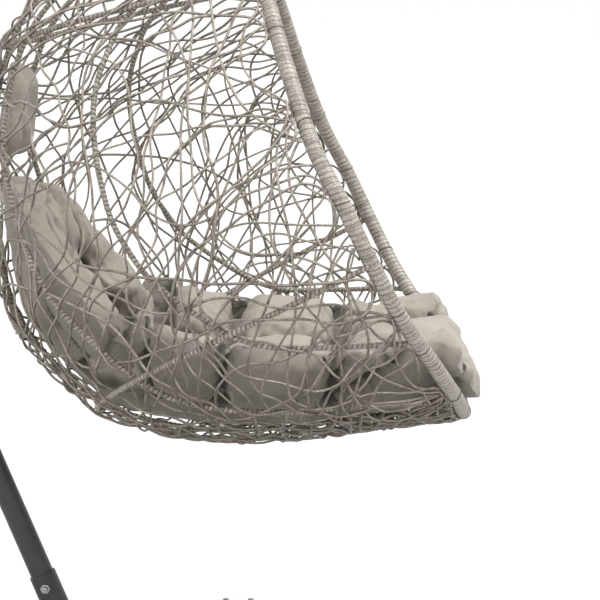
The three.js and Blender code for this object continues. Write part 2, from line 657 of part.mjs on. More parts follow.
function buildSpring() {
  const plugR = SPRING_R - SPRING_WIRE_R - 2;
  const eye = wireRing(EYE_LOOP_R, WIRE_R, SPRING_EYE_Z, true);
  const upperPlug = turned([[0, COIL_TOP - 22], [plugR, COIL_TOP - 22], [plugR, COIL_TOP + 3],
    [8, COIL_TOP + 9], [0, COIL_TOP + 9]]);
  const stem = straight(hangPoint(0, 0, COIL_TOP - 4), hangPoint(0, 0, COIL_TOP + 14), 5.5, 10);
  addMesh('spring_upper_plug', join(eye, upperPlug, stem), 'zinc');
  const lowerPlug = turned([[0, COIL_BOTTOM - 1.5], [plugR, COIL_BOTTOM - 1.5], [plugR, COIL_BOTTOM + 22],
    [0, COIL_BOTTOM + 22]]);
  addMesh('spring_lower_plug', lowerPlug, 'zinc');

  const coilHeight = COIL_TOP - COIL_BOTTOM - 2 * SPRING_WIRE_R;
  const steps = SPRING_TURNS * 8;
  const coil = new THREE.CatmullRomCurve3(range(steps + 1, (i) => {
    const a = (2 * Math.PI * i) / 8;
    return hangPoint(
      SPRING_R * Math.cos(a), SPRING_R * Math.sin(a), COIL_BOTTOM + SPRING_WIRE_R + (coilHeight * i) / steps,
    );
  }));
  addMesh('spring_coil', sweep(coil, SPRING_WIRE_R, steps, 6), 'zinc');
}

// Swivel: the housing turns round the flanged head of the hook's stem.
function buildSwivel() {
  const top = HOUSING_TOP;
  const low = HOUSING_BOTTOM;
  const housing = turned([
    [6, low], [15, low], [17, low + 4], [17, top], [12, top], [12, low + 6], [6, low + 6], [6, low],
  ]);
  addMesh('swivel_housing', housing, 'zinc');
  const head = turned([[0, low + 6 + GAP], [11, low + 6 + GAP], [11, low + 13], [0, low + 13]]);
  const stem = straight(hangPoint(0, 0, HOOK_Z + HOOK_LOOP_R - 3), hangPoint(0, 0, low + 8), WIRE_R, 10);
  const hookArc = new THREE.CatmullRomCurve3(range(15, (i) => {
    const a = THREE.MathUtils.degToRad(mix(90, 385, i / 14));
    return hangPoint(HOOK_LOOP_R * Math.cos(a), 0, HOOK_Z + HOOK_LOOP_R * Math.sin(a));
  }));
  addMesh('swivel_hook', join(head, stem, sweep(hookArc, WIRE_R, 22, 8)), 'zinc');
  const ring = wireRing(RING_LOOP_R, WIRE_R, BASKET_RING_Z, true);
  addMesh('basket_ring', cut(ring, sweepLoop(rimCurve, RIM_R + GAP, RIM_STEPS)), 'zinc');
}

buildBasketFrame();
buildCushions();
buildPole();
buildEndCap();
buildHangingEye();
buildBase();
buildCarabiner();
buildSpring();
buildSwivel();

export default chair;
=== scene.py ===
"""Looks of the hanging egg chair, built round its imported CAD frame. Metres, +Z up, -Y is the open front."""
import json
import math
import random
import bmesh
import bpy
import numpy as np
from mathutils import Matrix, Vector, kdtree

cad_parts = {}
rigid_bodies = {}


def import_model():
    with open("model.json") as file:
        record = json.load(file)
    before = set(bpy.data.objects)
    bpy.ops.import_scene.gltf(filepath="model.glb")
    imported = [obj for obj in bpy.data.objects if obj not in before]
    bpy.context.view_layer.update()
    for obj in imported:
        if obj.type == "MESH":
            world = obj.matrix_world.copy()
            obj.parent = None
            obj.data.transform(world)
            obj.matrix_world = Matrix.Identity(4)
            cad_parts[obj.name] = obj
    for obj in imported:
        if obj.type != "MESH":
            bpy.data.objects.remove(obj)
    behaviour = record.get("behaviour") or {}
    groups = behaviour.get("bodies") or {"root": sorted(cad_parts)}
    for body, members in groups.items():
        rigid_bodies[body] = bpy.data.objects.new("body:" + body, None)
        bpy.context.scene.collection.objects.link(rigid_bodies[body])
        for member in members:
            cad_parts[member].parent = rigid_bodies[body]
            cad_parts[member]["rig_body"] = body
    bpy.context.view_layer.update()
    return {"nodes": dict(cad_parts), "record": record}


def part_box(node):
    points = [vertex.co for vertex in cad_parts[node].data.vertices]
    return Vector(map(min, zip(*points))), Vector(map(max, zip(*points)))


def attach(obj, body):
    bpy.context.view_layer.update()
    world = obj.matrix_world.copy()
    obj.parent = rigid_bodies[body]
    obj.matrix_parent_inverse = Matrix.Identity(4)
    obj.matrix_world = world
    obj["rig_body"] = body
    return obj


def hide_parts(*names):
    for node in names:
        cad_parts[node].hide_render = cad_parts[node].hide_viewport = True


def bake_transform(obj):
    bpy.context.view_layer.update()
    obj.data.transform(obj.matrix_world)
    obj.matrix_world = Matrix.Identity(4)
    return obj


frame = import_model()
random.seed(7)
rng = np.random.default_rng(7)
MM = 0.001

# ---------------- driving dimensions
# The basket's surface, as in the CAD: stations run from the apex to the front lip.
RIM_STATIONS = [  # y, z, half width, in mm
    (-92, 1570, 0), (-137, 1483, 160), (-190, 1345, 282), (-236, 1200, 396), (-286, 1064, 478),
    (-336, 969, 507), (-381, 876, 500), (-431, 780, 462), (-487, 694, 394), (-530, 620, 285), (-558, 549, 0),
]
KEEL_STATIONS = [  # y, z of the centre rib, in mm
    (-92, 1570), (112, 1454), (278, 1279), (327, 1116), (332, 951), (287, 723), (129, 560), (-36, 511),
    (-211, 511), (-378, 534), (-558, 549),
]
LAST = len(RIM_STATIONS) - 1
INNER_RIB = [  # station, degrees round from the centre rib (90 is the rim)
    (1.35, 90), (1.6, 74), (2, 61.5), (2.5, 55.5), (3.2, 52.5), (4, 53), (4.7, 56), (5.4, 60.5), (6.1, 65),
    (6.75, 74.5), (7.55, 90),
]
OUTER_RIB = [
    (0.7, 90), (1.1, 50), (1.6, 34), (2.2, 25), (3, 22), (3.9, 25.5), (4.7, 32.5), (5.4, 38.5), (6.2, 41),
    (7, 47), (8, 62), (8.7, 74), (9.3, 90),
]
HOOPS = {"hoop_upper": (2.3, 2.0, 0), "hoop_lower": (6.05, 6.0, 0.2)}  # station at the rib, at the rim, sag
HOOP_OFFSET = 9.6 * MM
RIM_R = 14 * MM
ROD_R = 4.5 * MM
STRIP_THICKNESS = 0.9 * MM
RIM_WINDING = (9.4 * MM, 0.8 * MM, 1.0, 0.9 * MM)  # strip's pitch, rise, share of pitch covered, mesh step
ROD_WINDING = (8.6 * MM, 1.1 * MM, 0.86, 1.2 * MM)
STRAND_R = 2.3 * MM
STRAND_STEP = 7 * MM
STRAND_TOTAL = 150.0  # length of strand in the whole basket, in metres
STRAND_SIDES = 6
TIE_SPACING = 115 * MM
TIE_R = 1.1 * MM
OVER_HOOP = 17.6 * MM  # height of a strand above the basket's surface where it crosses a hoop
UNDER_HOOP = 2 * MM
CLEAR_OF_HOOP = (12 * MM, 42 * MM)  # distance from a hoop over which a strand comes back to its own height

# The stand and the hanging hardware, as in the CAD.
POLE_R = 22.5 * MM
SLEEVE_R = 26 * MM
POLE_LEAN = math.radians(22.8)
SOCKET_TOP = Vector((0, 0.250, 0.225))
STRAIGHT_LENGTH = 0.795
ARC_R = 0.680
INSERT_DEPTH = 0.120
RING_R = 0.510
RING_TUBE_R = 21 * MM
RING_Z = 29 * MM
HANG_Y = -0.092


def add_object(name, data):
    """A new object in the scene."""
    made = bpy.data.objects.new(name, data)
    bpy.context.collection.objects.link(made)
    return made


# ---------------- camera
camera = add_object("camera", bpy.data.cameras.new("camera"))
camera.location = (-4.51, -0.362, 1.27)
camera_target = Vector((0, -0.248, 0.757))
camera.rotation_euler = (camera_target - camera.location).to_track_quat("-Z", "Y").to_euler()
camera.data.lens = 143.4
bpy.context.scene.camera = camera


# ---------------- materials
def material(name, color, roughness, metallic=0.0, sheen=0.0):
    """A principled material with its base values set; returns it with its node tree and shader."""
    made = bpy.data.materials.new(name)
    made.use_nodes = True
    tree = made.node_tree
    shader = tree.nodes["Principled BSDF"]
    shader.inputs["Base Color"].default_value = (*color, 1)
    shader.inputs["Roughness"].default_value = roughness
    shader.inputs["Metallic"].default_value = metallic
    shader.inputs["Sheen Weight"].default_value = sheen
    made.diffuse_color = (*color, 1)
    return made, tree, shader


def add_node(tree, kind, **values):
    """A shader node with its sockets or properties set by name."""
    node = tree.nodes.new(kind)
    for key, value in values.items():
        if key in node.inputs:
            node.inputs[key].default_value = value
        else:
            setattr(node, key, value)
    return node


def noise(tree, scale, detail=3, vector=None, roughness=0.5):
    """Noise in object space, or over the vector given."""
    if vector is None:
        vector = add_node(tree, "ShaderNodeTexCoord").outputs["Object"]
    texture = add_node(tree, "ShaderNodeTexNoise", Scale=scale, Detail=detail, Roughness=roughness)
    tree.links.new(vector, texture.inputs["Vector"])
    return texture.outputs["Fac"]


def ramp(tree, value, stops):
    """Colour ramp through (position, colour) stops."""
    node = add_node(tree, "ShaderNodeValToRGB")
    elements = node.color_ramp.elements
    while len(elements) < len(stops):
        elements.new(0.5)
    for element, (position, color) in zip(elements, stops):
        element.position = position
        element.color = (*color, 1)
    tree.links.new(value, node.inputs["Fac"])
    return node.outputs["Color"]


def multiply(tree, first, second):
    node = add_node(tree, "ShaderNodeMix", data_type="RGBA", blend_type="MULTIPLY")
    node.inputs[0].default_value = 1.0
    tree.links.new(first, node.inputs[6])
    tree.links.new(second, node.inputs[7])
    return node.outputs[2]


def bump(tree, shader, height, strength, distance):
    node = add_node(tree, "ShaderNodeBump", Strength=strength, Distance=distance)
    tree.links.new(height, node.inputs["Height"])
    tree.links.new(node.outputs["Normal"], shader.inputs["Normal"])


def vary_roughness(tree, shader, scale, lowest, highest):
    spread = add_node(tree, "ShaderNodeMapRange")
    tree.links.new(noise(tree, scale, 4), spread.inputs["Value"])
    spread.inputs["To Min"].default_value = lowest
    spread.inputs["To Max"].default_value = highest
    tree.links.new(spread.outputs["Result"], shader.inputs["Roughness"])


def attribute(tree, name, output="Fac"):
    return add_node(tree, "ShaderNodeAttribute", attribute_name=name).outputs[output]


def fabric_material():
    """Woven polyester: warm grey-beige, fine plain weave, faint mottling, with painted shade in the seams, at
    the tufts and underneath.
    """
    made, tree, shader = material("cushion_fabric", (0.34, 0.309, 0.265), 0.95, sheen=0.1)
    shader.inputs["Sheen Roughness"].default_value = 0.6
    mottle = ramp(tree, noise(tree, 9, 4), [(0.3, (0.322, 0.291, 0.249)), (0.7, (0.372, 0.339, 0.293))])
    threads = noise(tree, 520, 2)
    fine = ramp(tree, threads, [(0.35, (0.80, 0.80, 0.80)), (0.65, (1, 1, 1))])
    # Painted shade: darkens the cloth along the seams, at the tufts and on the pads' undersides.
    painted_shade = ramp(tree, attribute(tree, "painted_shade"),
                  [(0, (1, 1, 1)), (0.6, (0.55, 0.54, 0.525)), (1, (0.13, 0.12, 0.11))])
    color = multiply(tree, multiply(tree, mottle, fine), painted_shade)
    tree.links.new(color, shader.inputs["Base Color"])
    coordinates = add_node(tree, "ShaderNodeTexCoord").outputs["Object"]
    warp = add_node(tree, "ShaderNodeTexWave", Scale=420, Distortion=1.2, bands_direction="X")
    weft = add_node(tree, "ShaderNodeTexWave", Scale=420, Distortion=1.2, bands_direction="DIAGONAL")
    for wave in (warp, weft):
        tree.links.new(coordinates, wave.inputs["Vector"])
    weave = multiply(tree, warp.outputs["Color"], weft.outputs["Color"])
    bump(tree, shader, weave, 0.35, 0.0006)
    return made


def wicker_material(name, light, dark, gap):
    """Resin wicker: streaks along the strip, fine specks, a tone for each strip, and painted shade that
    darkens the gaps between turns and the strands' undersides.
    """
    made, tree, shader = material(name, light, 0.45)
    strip = attribute(tree, "strip", "Vector")
    streaks = noise(tree, 1.0, 4, strip, 0.7)
    body = ramp(tree, streaks, [(0.36, dark), (0.60, light)])
    tone = ramp(tree, attribute(tree, "tone"), [(0, (0.84, 0.84, 0.84)), (1, (1, 1, 1))])
    # Painted shade: the gap attribute darkens the gaps between turns and the strands' undersides towards the
    # gap colour.
    painted_shade_tint = ramp(tree, attribute(tree, "gap"), [(0, (1, 1, 1)), (1, gap)])
    speckle = ramp(tree, noise(tree, 330, 3), [(0.38, (0.66, 0.63, 0.59)), (0.56, (1, 1, 1))])
    color = multiply(tree, multiply(tree, multiply(tree, body, tone), painted_shade_tint), speckle)
    tree.links.new(color, shader.inputs["Base Color"])
    bump(tree, shader, streaks, 0.3, 0.0006)
    return made


def coated_material():
    """Powder-coated steel: dark grey, satin, with a faint orange peel."""
    made, tree, shader = material("powder_coat", (0.032, 0.035, 0.034), 0.36)
    color = ramp(tree, noise(tree, 30, 5), [(0.3, (0.028, 0.031, 0.030)), (0.7, (0.038, 0.041, 0.040))])
    tree.links.new(color, shader.inputs["Base Color"])
    vary_roughness(tree, shader, 60, 0.28, 0.42)
    shader.inputs["Specular IOR Level"].default_value = 0.38
    bump(tree, shader, noise(tree, 900, 2), 0.25, 0.0003)
    return made


def zinc_material():
    """Zinc-plated steel: bright, with fine scratches and cloudy plating."""
    made, tree, shader = material("zinc", (0.36, 0.365, 0.37), 0.34, metallic=1.0)
    color = ramp(tree, noise(tree, 120, 5), [(0.3, (0.27, 0.275, 0.28)), (0.7, (0.44, 0.44, 0.43))])
    tree.links.new(color, shader.inputs["Base Color"])
    vary_roughness(tree, shader, 400, 0.2, 0.45)
    bump(tree, shader, noise(tree, 1500, 2), 0.15, 0.0002)
    return made


def rubber_material():
    """Moulded black rubber with a fine grain."""
    made, tree, shader = material("rubber", (0.025, 0.025, 0.026), 0.75)
    color = ramp(tree, noise(tree, 200, 4), [(0.3, (0.02, 0.02, 0.021)), (0.7, (0.036, 0.036, 0.037))])
    tree.links.new(color, shader.inputs["Base Color"])
    bump(tree, shader, noise(tree, 1400, 3), 0.3, 0.0003)
    return made


FABRIC = fabric_material()
# The third colour of each wicker is its painted shade, for the gaps between turns and the strands'
# undersides.
RIM_WICKER = wicker_material("wicker_wrap",
                             (0.48, 0.442, 0.393), (0.22, 0.20, 0.174), (0.18, 0.165, 0.145))
ROD_WICKER = wicker_material("wrapped_rod",
                             (0.44, 0.40, 0.35), (0.22, 0.198, 0.168), (0.22, 0.19, 0.16))
STRAND_WICKER = wicker_material("wicker_strand",
                                (0.47, 0.416, 0.36), (0.22, 0.19, 0.158), (0.15, 0.125, 0.10))
COAT = coated_material()
ZINC = zinc_material()
RUBBER = rubber_material()
SLOTS = {
    COAT: "powder_coat", ZINC: "zinc_hardware", RUBBER: "rubber_plastic", FABRIC: "cushion_fabric",
    RIM_WICKER: "wicker_wrap", STRAND_WICKER: "wicker_strand", ROD_WICKER: "wrapped_rod",
}


# ---------------- meshes
def new_piece(name, vertices, faces, look, body, replaced, attributes=None):
    """A smooth mesh piece that rides on a body and stands for the CAD nodes named."""
    mesh = bpy.data.meshes.new(name)
    mesh.from_pydata([tuple(v) for v in vertices], [], faces)
    mesh.shade_smooth()
    for key, values in (attributes or {}).items():
        kind = "FLOAT_VECTOR" if np.ndim(values) == 2 else "FLOAT"
        layer = mesh.attributes.new(key, kind, "POINT")
        layer.data.foreach_set("vector" if kind == "FLOAT_VECTOR" else "value",
                               np.asarray(values, np.float32).ravel())
    return settle(add_object(name, mesh), look, body, replaced)


def settle(piece, look, body, replaced):
    """Sets a piece's material, its body, if it has one, and the CAD nodes it stands for."""
    piece.data.materials.clear()
    piece.data.materials.append(look)
    if body:
        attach(piece, body)
    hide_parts(*replaced)
    return piece


def unit(rows):
    rows = np.atleast_2d(rows)
    return rows / np.maximum(np.linalg.norm(rows, axis=1, keepdims=True), 1e-12)


def path_frames(points, closed=False):
    """Normals and binormals carried along a path without twist; a closed path's ends meet."""
    if closed:
        tangents = unit(np.roll(points, -1, 0) - np.roll(points, 1, 0))
    else:
        tangents = unit(np.gradient(points, axis=0))
    start = np.cross(tangents[0], (0, 0, 1) if abs(tangents[0][2]) < 0.9 else (1, 0, 0))
    normals = np.empty_like(points)
    normals[0] = start / np.linalg.norm(start)
    for i in range(1, len(points)):
        n = normals[i - 1] - tangents[i] * np.dot(normals[i - 1], tangents[i])
        normals[i] = n / np.linalg.norm(n)
    binormals = np.cross(tangents, normals)
    if closed:
        end = normals[-1] - tangents[0] * np.dot(normals[-1], tangents[0])
        twist = math.atan2(np.dot(end, binormals[0]), np.dot(end, normals[0]))
        turn = -twist * np.linspace(0, 1, len(points))[:, None]
        normals, binormals = (normals * np.cos(turn) + binormals * np.sin(turn),
                              binormals * np.cos(turn) - normals * np.sin(turn))
    return normals, binormals


def tube(points, radii, sides, closed=False, offset=0):
    """Vertices and faces of a tube round a path; radii is one number or one for each ring and side."""
    points = np.asarray(points, float)
    count = len(points)
    normals, binormals = path_frames(points, closed)
    angles = 2 * math.pi * np.arange(sides) / sides
    radii = np.broadcast_to(np.asarray(radii, float), (count, sides))
    ring = (normals[:, None] * np.cos(angles)[None, :, None]
            + binormals[:, None] * np.sin(angles)[None, :, None])
    vertices = (points[:, None] + ring * radii[:, :, None]).reshape(-1, 3)
    rows = np.arange(count if closed else count - 1)
    here = (rows[:, None] * sides + np.arange(sides)[None]).ravel()
    beside = (rows[:, None] * sides + (np.arange(sides)[None] + 1) % sides).ravel()
    total = count * sides
    faces = np.stack([here, beside, (beside + sides) % total, (here + sides) % total], 1) + offset
    faces = faces.tolist()
    if not closed:
        faces.append((np.arange(sides)[::-1] + offset).tolist())
        faces.append((np.arange(sides) + total - sides + offset).tolist())
    return vertices, faces


def resample(points, step, closed=False):
    """Evenly spaced points along a path, and each one's distance along it."""
    points = np.asarray(points, float)
    if closed:
        points = np.vstack([points, points[:1]])
    lengths = np.concatenate([[0], np.cumsum(np.linalg.norm(np.diff(points, axis=0), axis=1))])
    count = max(3, int(round(lengths[-1] / step)))
    along = np.linspace(0, lengths[-1], count + 1)
    if closed:
        along = along[:-1]
    return np.stack([np.interp(along, lengths, points[:, k]) for k in range(3)], 1), along


def tree_of(points):
    """A tree that finds the nearest of the points."""
    tree = kdtree.KDTree(len(points))
    for index, point in enumerate(points):
        tree.insert(point, index)
    tree.balance()
    return tree


# ---------------- basket surface
def catmull_rom(stations, t, closed):
    """Points of a centripetal Catmull-Rom curve at parameters t from 0 to 1."""
    p = np.asarray(stations, float)
    if closed:
        p = np.vstack([p[-1:], p, p[:2]])
        position = np.asarray(t) * len(stations)
    else:
        p = np.vstack([2 * p[0] - p[1], p, 2 * p[-1] - p[-2]])
        position = np.asarray(t) * (len(stations) - 1)
    first = np.clip(np.floor(position).astype(int), 0, len(p) - 4)
    w = (position - first)[:, None]
    p0, p1, p2, p3 = (p[first + k] for k in range(4))
    d0, d1, d2 = (np.sqrt(np.linalg.norm(b - a, axis=1))[:, None] for a, b in ((p0, p1), (p1, p2), (p2, p3)))
    t1 = ((p1 - p0) / d0 - (p2 - p0) / (d0 + d1) + (p2 - p1) / d1) * d1
    t2 = ((p2 - p1) / d1 - (p3 - p1) / (d1 + d2) + (p3 - p2) / d2) * d1
    return p1 + w * (t1 + w * ((-3 * p1 + 3 * p2 - 2 * t1 - t2) + w * (2 * p1 - 2 * p2 + t1 + t2)))


def rim_loop():
    """The rim's stations, down the left side and back up the right."""
    left = [(half, y, z) for y, z, half in RIM_STATIONS]
    right = [(-half, y, z) for y, z, half in RIM_STATIONS[1:LAST][::-1]]
    return np.array(left + right) * MM


def surface(stations, degrees, distance=0.0):
    """Points on the basket's surface; distance is how far outside it they lie."""
    s = np.atleast_1d(np.asarray(stations, float))
    angle = np.radians(np.atleast_1d(np.asarray(degrees, float)))

    def at(s, angle):
        rim = catmull_rom(rim_loop(), s / LAST / 2, True)
        keel = catmull_rom([(0, y * MM, z * MM) for y, z in KEEL_STATIONS], s / LAST, False)
        c, n = np.cos(angle)[:, None], np.sin(angle)[:, None]
        point = rim + (keel - rim) * c
        point[:, 0] = (rim[:, :1] * n)[:, 0]
        return point

    base = at(s, angle)
    if np.all(np.asarray(distance) == 0):
        return base
    near = np.clip(s, 0.1, LAST - 0.1)
    along = at(near + 0.05, angle) - at(near - 0.05, angle)
    across = at(near, angle + math.radians(1)) - at(near, angle - math.radians(1))
    return base + unit(np.cross(across, along)) * np.reshape(distance, (-1, 1))


def rib_points(route, side):
    """A rib through (station, degrees) pairs, laid on the surface; side is 1 for left or -1."""
    guide = catmull_rom([(s, a, 0) for s, a in route], np.linspace(0, 1, 121), False)
    points = surface(guide[:, 0], guide[:, 1])
    points[:, 0] *= side
    return points


def hoop_points(at_keel, at_rim, sag):
    degrees = np.linspace(-90, 90, 121)
    angle = np.radians(np.abs(degrees))
    stations = at_keel + (at_rim - at_keel) * np.sin(angle) ** 2 - sag * np.sin(2 * angle)
    return surface(stations, degrees, HOOP_OFFSET)


# ---------------- wrapped rim and rods
def wrapped(name, points, radius, winding, sides, look, node, closed=False):
    """A tube wound with a flat strip, whose turns stand up over the share of the pitch that they cover."""
    pitch, rise, cover, step = winding
    centres, along = resample(points, step, closed)
    angles = np.arange(sides) / sides
    length = along[-1] + step
    if closed:
        pitch = length / round(length / pitch)
    wander = 0.16 * np.interp(along, np.linspace(0, length, 60), rng.normal(0, 1, 60) * 0.6)
    if closed:
        wander *= np.sin(np.pi * along / length)
    phase = along[:, None] / pitch + angles[None] + wander[:, None]
    turn = np.floor(phase).astype(int)
    share = phase - turn
    turns = turn.max() + 2
    tones = rng.random(turns)
    lift = 1 + 0.35 * (rng.random(turns) - 0.5)
    edge = np.clip((cover - np.abs(2 * share - 1)) / 0.22, 0, 1)
    profile = edge * edge * (3 - 2 * edge) * (0.75 + 0.5 * share) * lift[turn]
    vertices, faces = tube(centres, radius + rise * (profile - 1), sides, closed)
    strip = np.stack([(turn + angles[None]) * 2.2, share * 2.4, turn * 3.7], 2).reshape(-1, 3)
    # Painted shade: the gap attribute darkens the strip where its turns leave a gap between them.
    gap = 1 - edge
    return new_piece(name, vertices, faces, look, "basket", [node],
                     {"strip": strip, "tone": tones[turn].ravel(), "gap": gap.ravel()})


def build_basket_frame():
    rim = catmull_rom(rim_loop(), np.linspace(0, 1, 721)[:-1], True)
    wrapped("wrapped_rim", rim, RIM_R, RIM_WINDING, 28, RIM_WICKER, "rim_tube", closed=True)
    keel = [(0, y * MM, z * MM) for y, z in KEEL_STATIONS]
    rods = {"centre_rib": catmull_rom(keel, np.linspace(0, 1, 181), False)}
    for side_name, side in (("left", 1), ("right", -1)):
        rods[f"inner_rib_{side_name}"] = rib_points(INNER_RIB, side)
        rods[f"outer_rib_{side_name}"] = rib_points(OUTER_RIB, side)
    for hoop, shape in HOOPS.items():
        rods[hoop] = hoop_points(*shape)
    for name, points in rods.items():
        wrapped(f"wrapped_{name}", points, ROD_R + STRIP_THICKNESS, ROD_WINDING, 10, ROD_WICKER, name)


# ---------------- woven strands
class Weave:
    """Strands laid one by one over the basket's surface, each going where the weave is thinnest."""

    STATIONS = np.linspace(0.02, LAST - 0.02, 301)
    DEGREES = np.linspace(-90, 90, 181)
    CELL = 26 * MM
    BEND_RADII = (0.11, 0.24, 0.7)
    LOOK_AHEAD = (0.05, 0.10, 0.16, 0.24)
    CHANCE, BEND_COST, CROWD_COST, DIRECTION_COST = 6, 0.2, 0.45, 3.5

    def __init__(self):
        s, a = np.meshgrid(self.STATIONS, self.DEGREES, indexing="ij")
        self.points = surface(s.ravel(), a.ravel()).reshape(*s.shape, 3)
        outside = surface(s.ravel(), a.ravel(), 1.0).reshape(*s.shape, 3)
        self.normals = outside - self.points
        self.by_station = np.gradient(self.points, self.STATIONS, axis=0)
        self.by_degree = np.gradient(self.points, self.DEGREES, axis=1)
        rim = catmull_rom(rim_loop(), np.linspace(0, 1, 801)[:-1], True)
        self.rim = rim
        self.tree = tree_of(rim)
        self.filled = {}
        self.contacts = []

    def sample(self, s, a):
        """Position, normal and the two parameter directions at a place on the surface."""
        x = (s - self.STATIONS[0]) / (self.STATIONS[1] - self.STATIONS[0])
        y = (a - self.DEGREES[0]) / (self.DEGREES[1] - self.DEGREES[0])
        i = min(max(int(x), 0), len(self.STATIONS) - 2)
        j = min(max(int(y), 0), len(self.DEGREES) - 2)
        u, v = x - i, y - j
        return [(g[i, j] * (1 - u) + g[i + 1, j] * u) * (1 - v)
                + (g[i, j + 1] * (1 - u) + g[i + 1, j + 1] * u) * v
                for g in (self.points, self.normals, self.by_station, self.by_degree)]

    def cell(self, p):
        return (round(p[0] / self.CELL), round(p[1] / self.CELL), round(p[2] / self.CELL))

    def crowd(self, p):
        """How much strand lies in a place's cell and the six round it; the lower part is woven closer."""
        x, y, z = self.cell(p)
        share = 0.7 + 0.6 * min(max((p[2] - 0.6) / 0.4, 0), 1)
        beside = ((1, 0, 0), (-1, 0, 0), (0, 1, 0), (0, -1, 0), (0, 0, 1), (0, 0, -1))
        return share * (2 * self.filled.get((x, y, z), 0)
                        + sum(self.filled.get((x + i, y + j, z + k), 0) for i, j, k in beside))

    def choose_bend(self, p, first, second, heading):
        """The gentle bend that leads to the thinnest weave, with a liking for three main directions."""
        best = None
        tight, easy, slight = (1 / radius for radius in self.BEND_RADII)
        for bend in (-tight, -easy, -slight, 0, slight, easy, tight):
            cost = random.random() * self.CHANCE + abs(bend) * self.BEND_COST
            for ahead in self.LOOK_AHEAD:
                turned = heading + bend * ahead / 2
                place = p + ahead * (math.cos(turned) * first + math.sin(turned) * second)
                cost += self.crowd(place) * self.CROWD_COST
            final = heading + bend * 0.12
            cost += self.DIRECTION_COST * abs(math.sin(3 * (final - 0.12)))
            if best is None or cost < best[0]:
                best = (cost, bend)
        return best[1]

    def strand(self, s, a, heading, length):
        """Points and outward normals of one strand, which starts and ends at the rim and turns back there."""
        points, normals = [], []
        bend, next_choice, turning, turn_radius = 0.0, 0.0, None, 0.04
        mine = []
        for step in range(int(1.6 * length / STRAND_STEP)):
            p, n, ps, pa = self.sample(s, a)
            first = ps / np.linalg.norm(ps)
            second = pa - first * np.dot(pa, first)
            second /= np.linalg.norm(second)
            points.append(p)
            normals.append(n / np.linalg.norm(n))
            mine.append(self.cell(p))
            direction = math.cos(heading) * first + math.sin(heading) * second
            rim_point, rim_index, gap = self.tree.find(p)
            outward = np.array(rim_point) - p
            outward -= n * np.dot(outward, n) / np.dot(n, n)
            outward /= max(np.linalg.norm(outward), 1e-9)
            facing = np.dot(direction, outward)
            room = gap - RIM_R - 1.2 * STRAND_R
            rise = 1 - math.sqrt(max(0, 1 - facing ** 2))
            if turning is None and facing > 0 and room < turn_radius * rise + 0.004:
                side = (math.cos(heading) * np.dot(outward, second)
                        - math.sin(heading) * np.dot(outward, first))
                turning = -1 if side > 0 else 1
                leave = -random.uniform(0.35, 0.95)
            if turning is not None:
                if facing > 0:
                    bend = turning * min(max(rise / max(room, 0.003), 1 / turn_radius), 1 / 0.012)
                else:
                    bend = turning / turn_radius
                    if room < 0.006 and abs(facing) < 0.35:
                        self.contacts.append(rim_index)
                        if step * STRAND_STEP > length:
                            break
                    if facing < leave:
                        turning, next_choice, turn_radius = None, 0, random.uniform(0.022, 0.065)
            elif next_choice <= 0:
                bend = self.choose_bend(p, first, second, heading) + random.uniform(-1.2, 1.2)
                next_choice = random.uniform(0.05, 0.13)
            next_choice -= STRAND_STEP
            heading += bend * STRAND_STEP
            metric = np.array([[ps @ ps, ps @ pa], [ps @ pa, pa @ pa]])
            move = np.linalg.solve(metric, [ps @ direction * STRAND_STEP, pa @ direction * STRAND_STEP])
            s = min(max(s + move[0], 0.25), LAST - 0.15)
            a = min(max(a + move[1], -89.5), 89.5)
        for place in mine:
            self.filled[place] = self.filled.get(place, 0) + 1
        return np.array(points), np.array(normals)


def smooth_path(points):
    for _ in range(2):
        points[1:-1] = (points[:-2] + 2 * points[1:-1] + points[2:]) / 4
    return points


class Bundle:
    """Many tubes gathered in one mesh, with the wicker's attributes."""

    def __init__(self):
        self.vertices, self.faces, self.strip, self.tone, self.gap, self.count = [], [], [], [], [], 0

    def add(self, points, radius, tone, dark=0.0, closed=False):
        sides = STRAND_SIDES
        vertices, faces = tube(points, radius, sides, closed, self.count)
        rows = len(points)
        along = np.arange(rows) * STRAND_STEP
        around = np.arange(sides) / sides
        self.strip.append(np.stack([np.repeat(along, sides) * 45 + tone * 90, np.tile(around, rows) * 3,
                                    np.full(rows * sides, tone * 40)], 1))
        self.vertices.append(vertices)
        self.faces += faces
        self.tone.append(np.full(rows * sides, tone))
        # Painted shade: each tube's underside is darkened. The dark argument and a small constant darken the
        # whole tube too.
        facing_down = (np.repeat(points[:, 2], sides) - vertices[:, 2]) / STRAND_R
        self.gap.append(np.clip(dark + 0.1 + 0.85 * facing_down, 0, 1))
        self.count += rows * sides

    def piece(self, name, look, replaced):
        return new_piece(name, np.vstack(self.vertices), self.faces, look, "basket", replaced,
                         {"strip": np.vstack(self.strip), "tone": np.concatenate(self.tone),
                          "gap": np.concatenate(self.gap)})


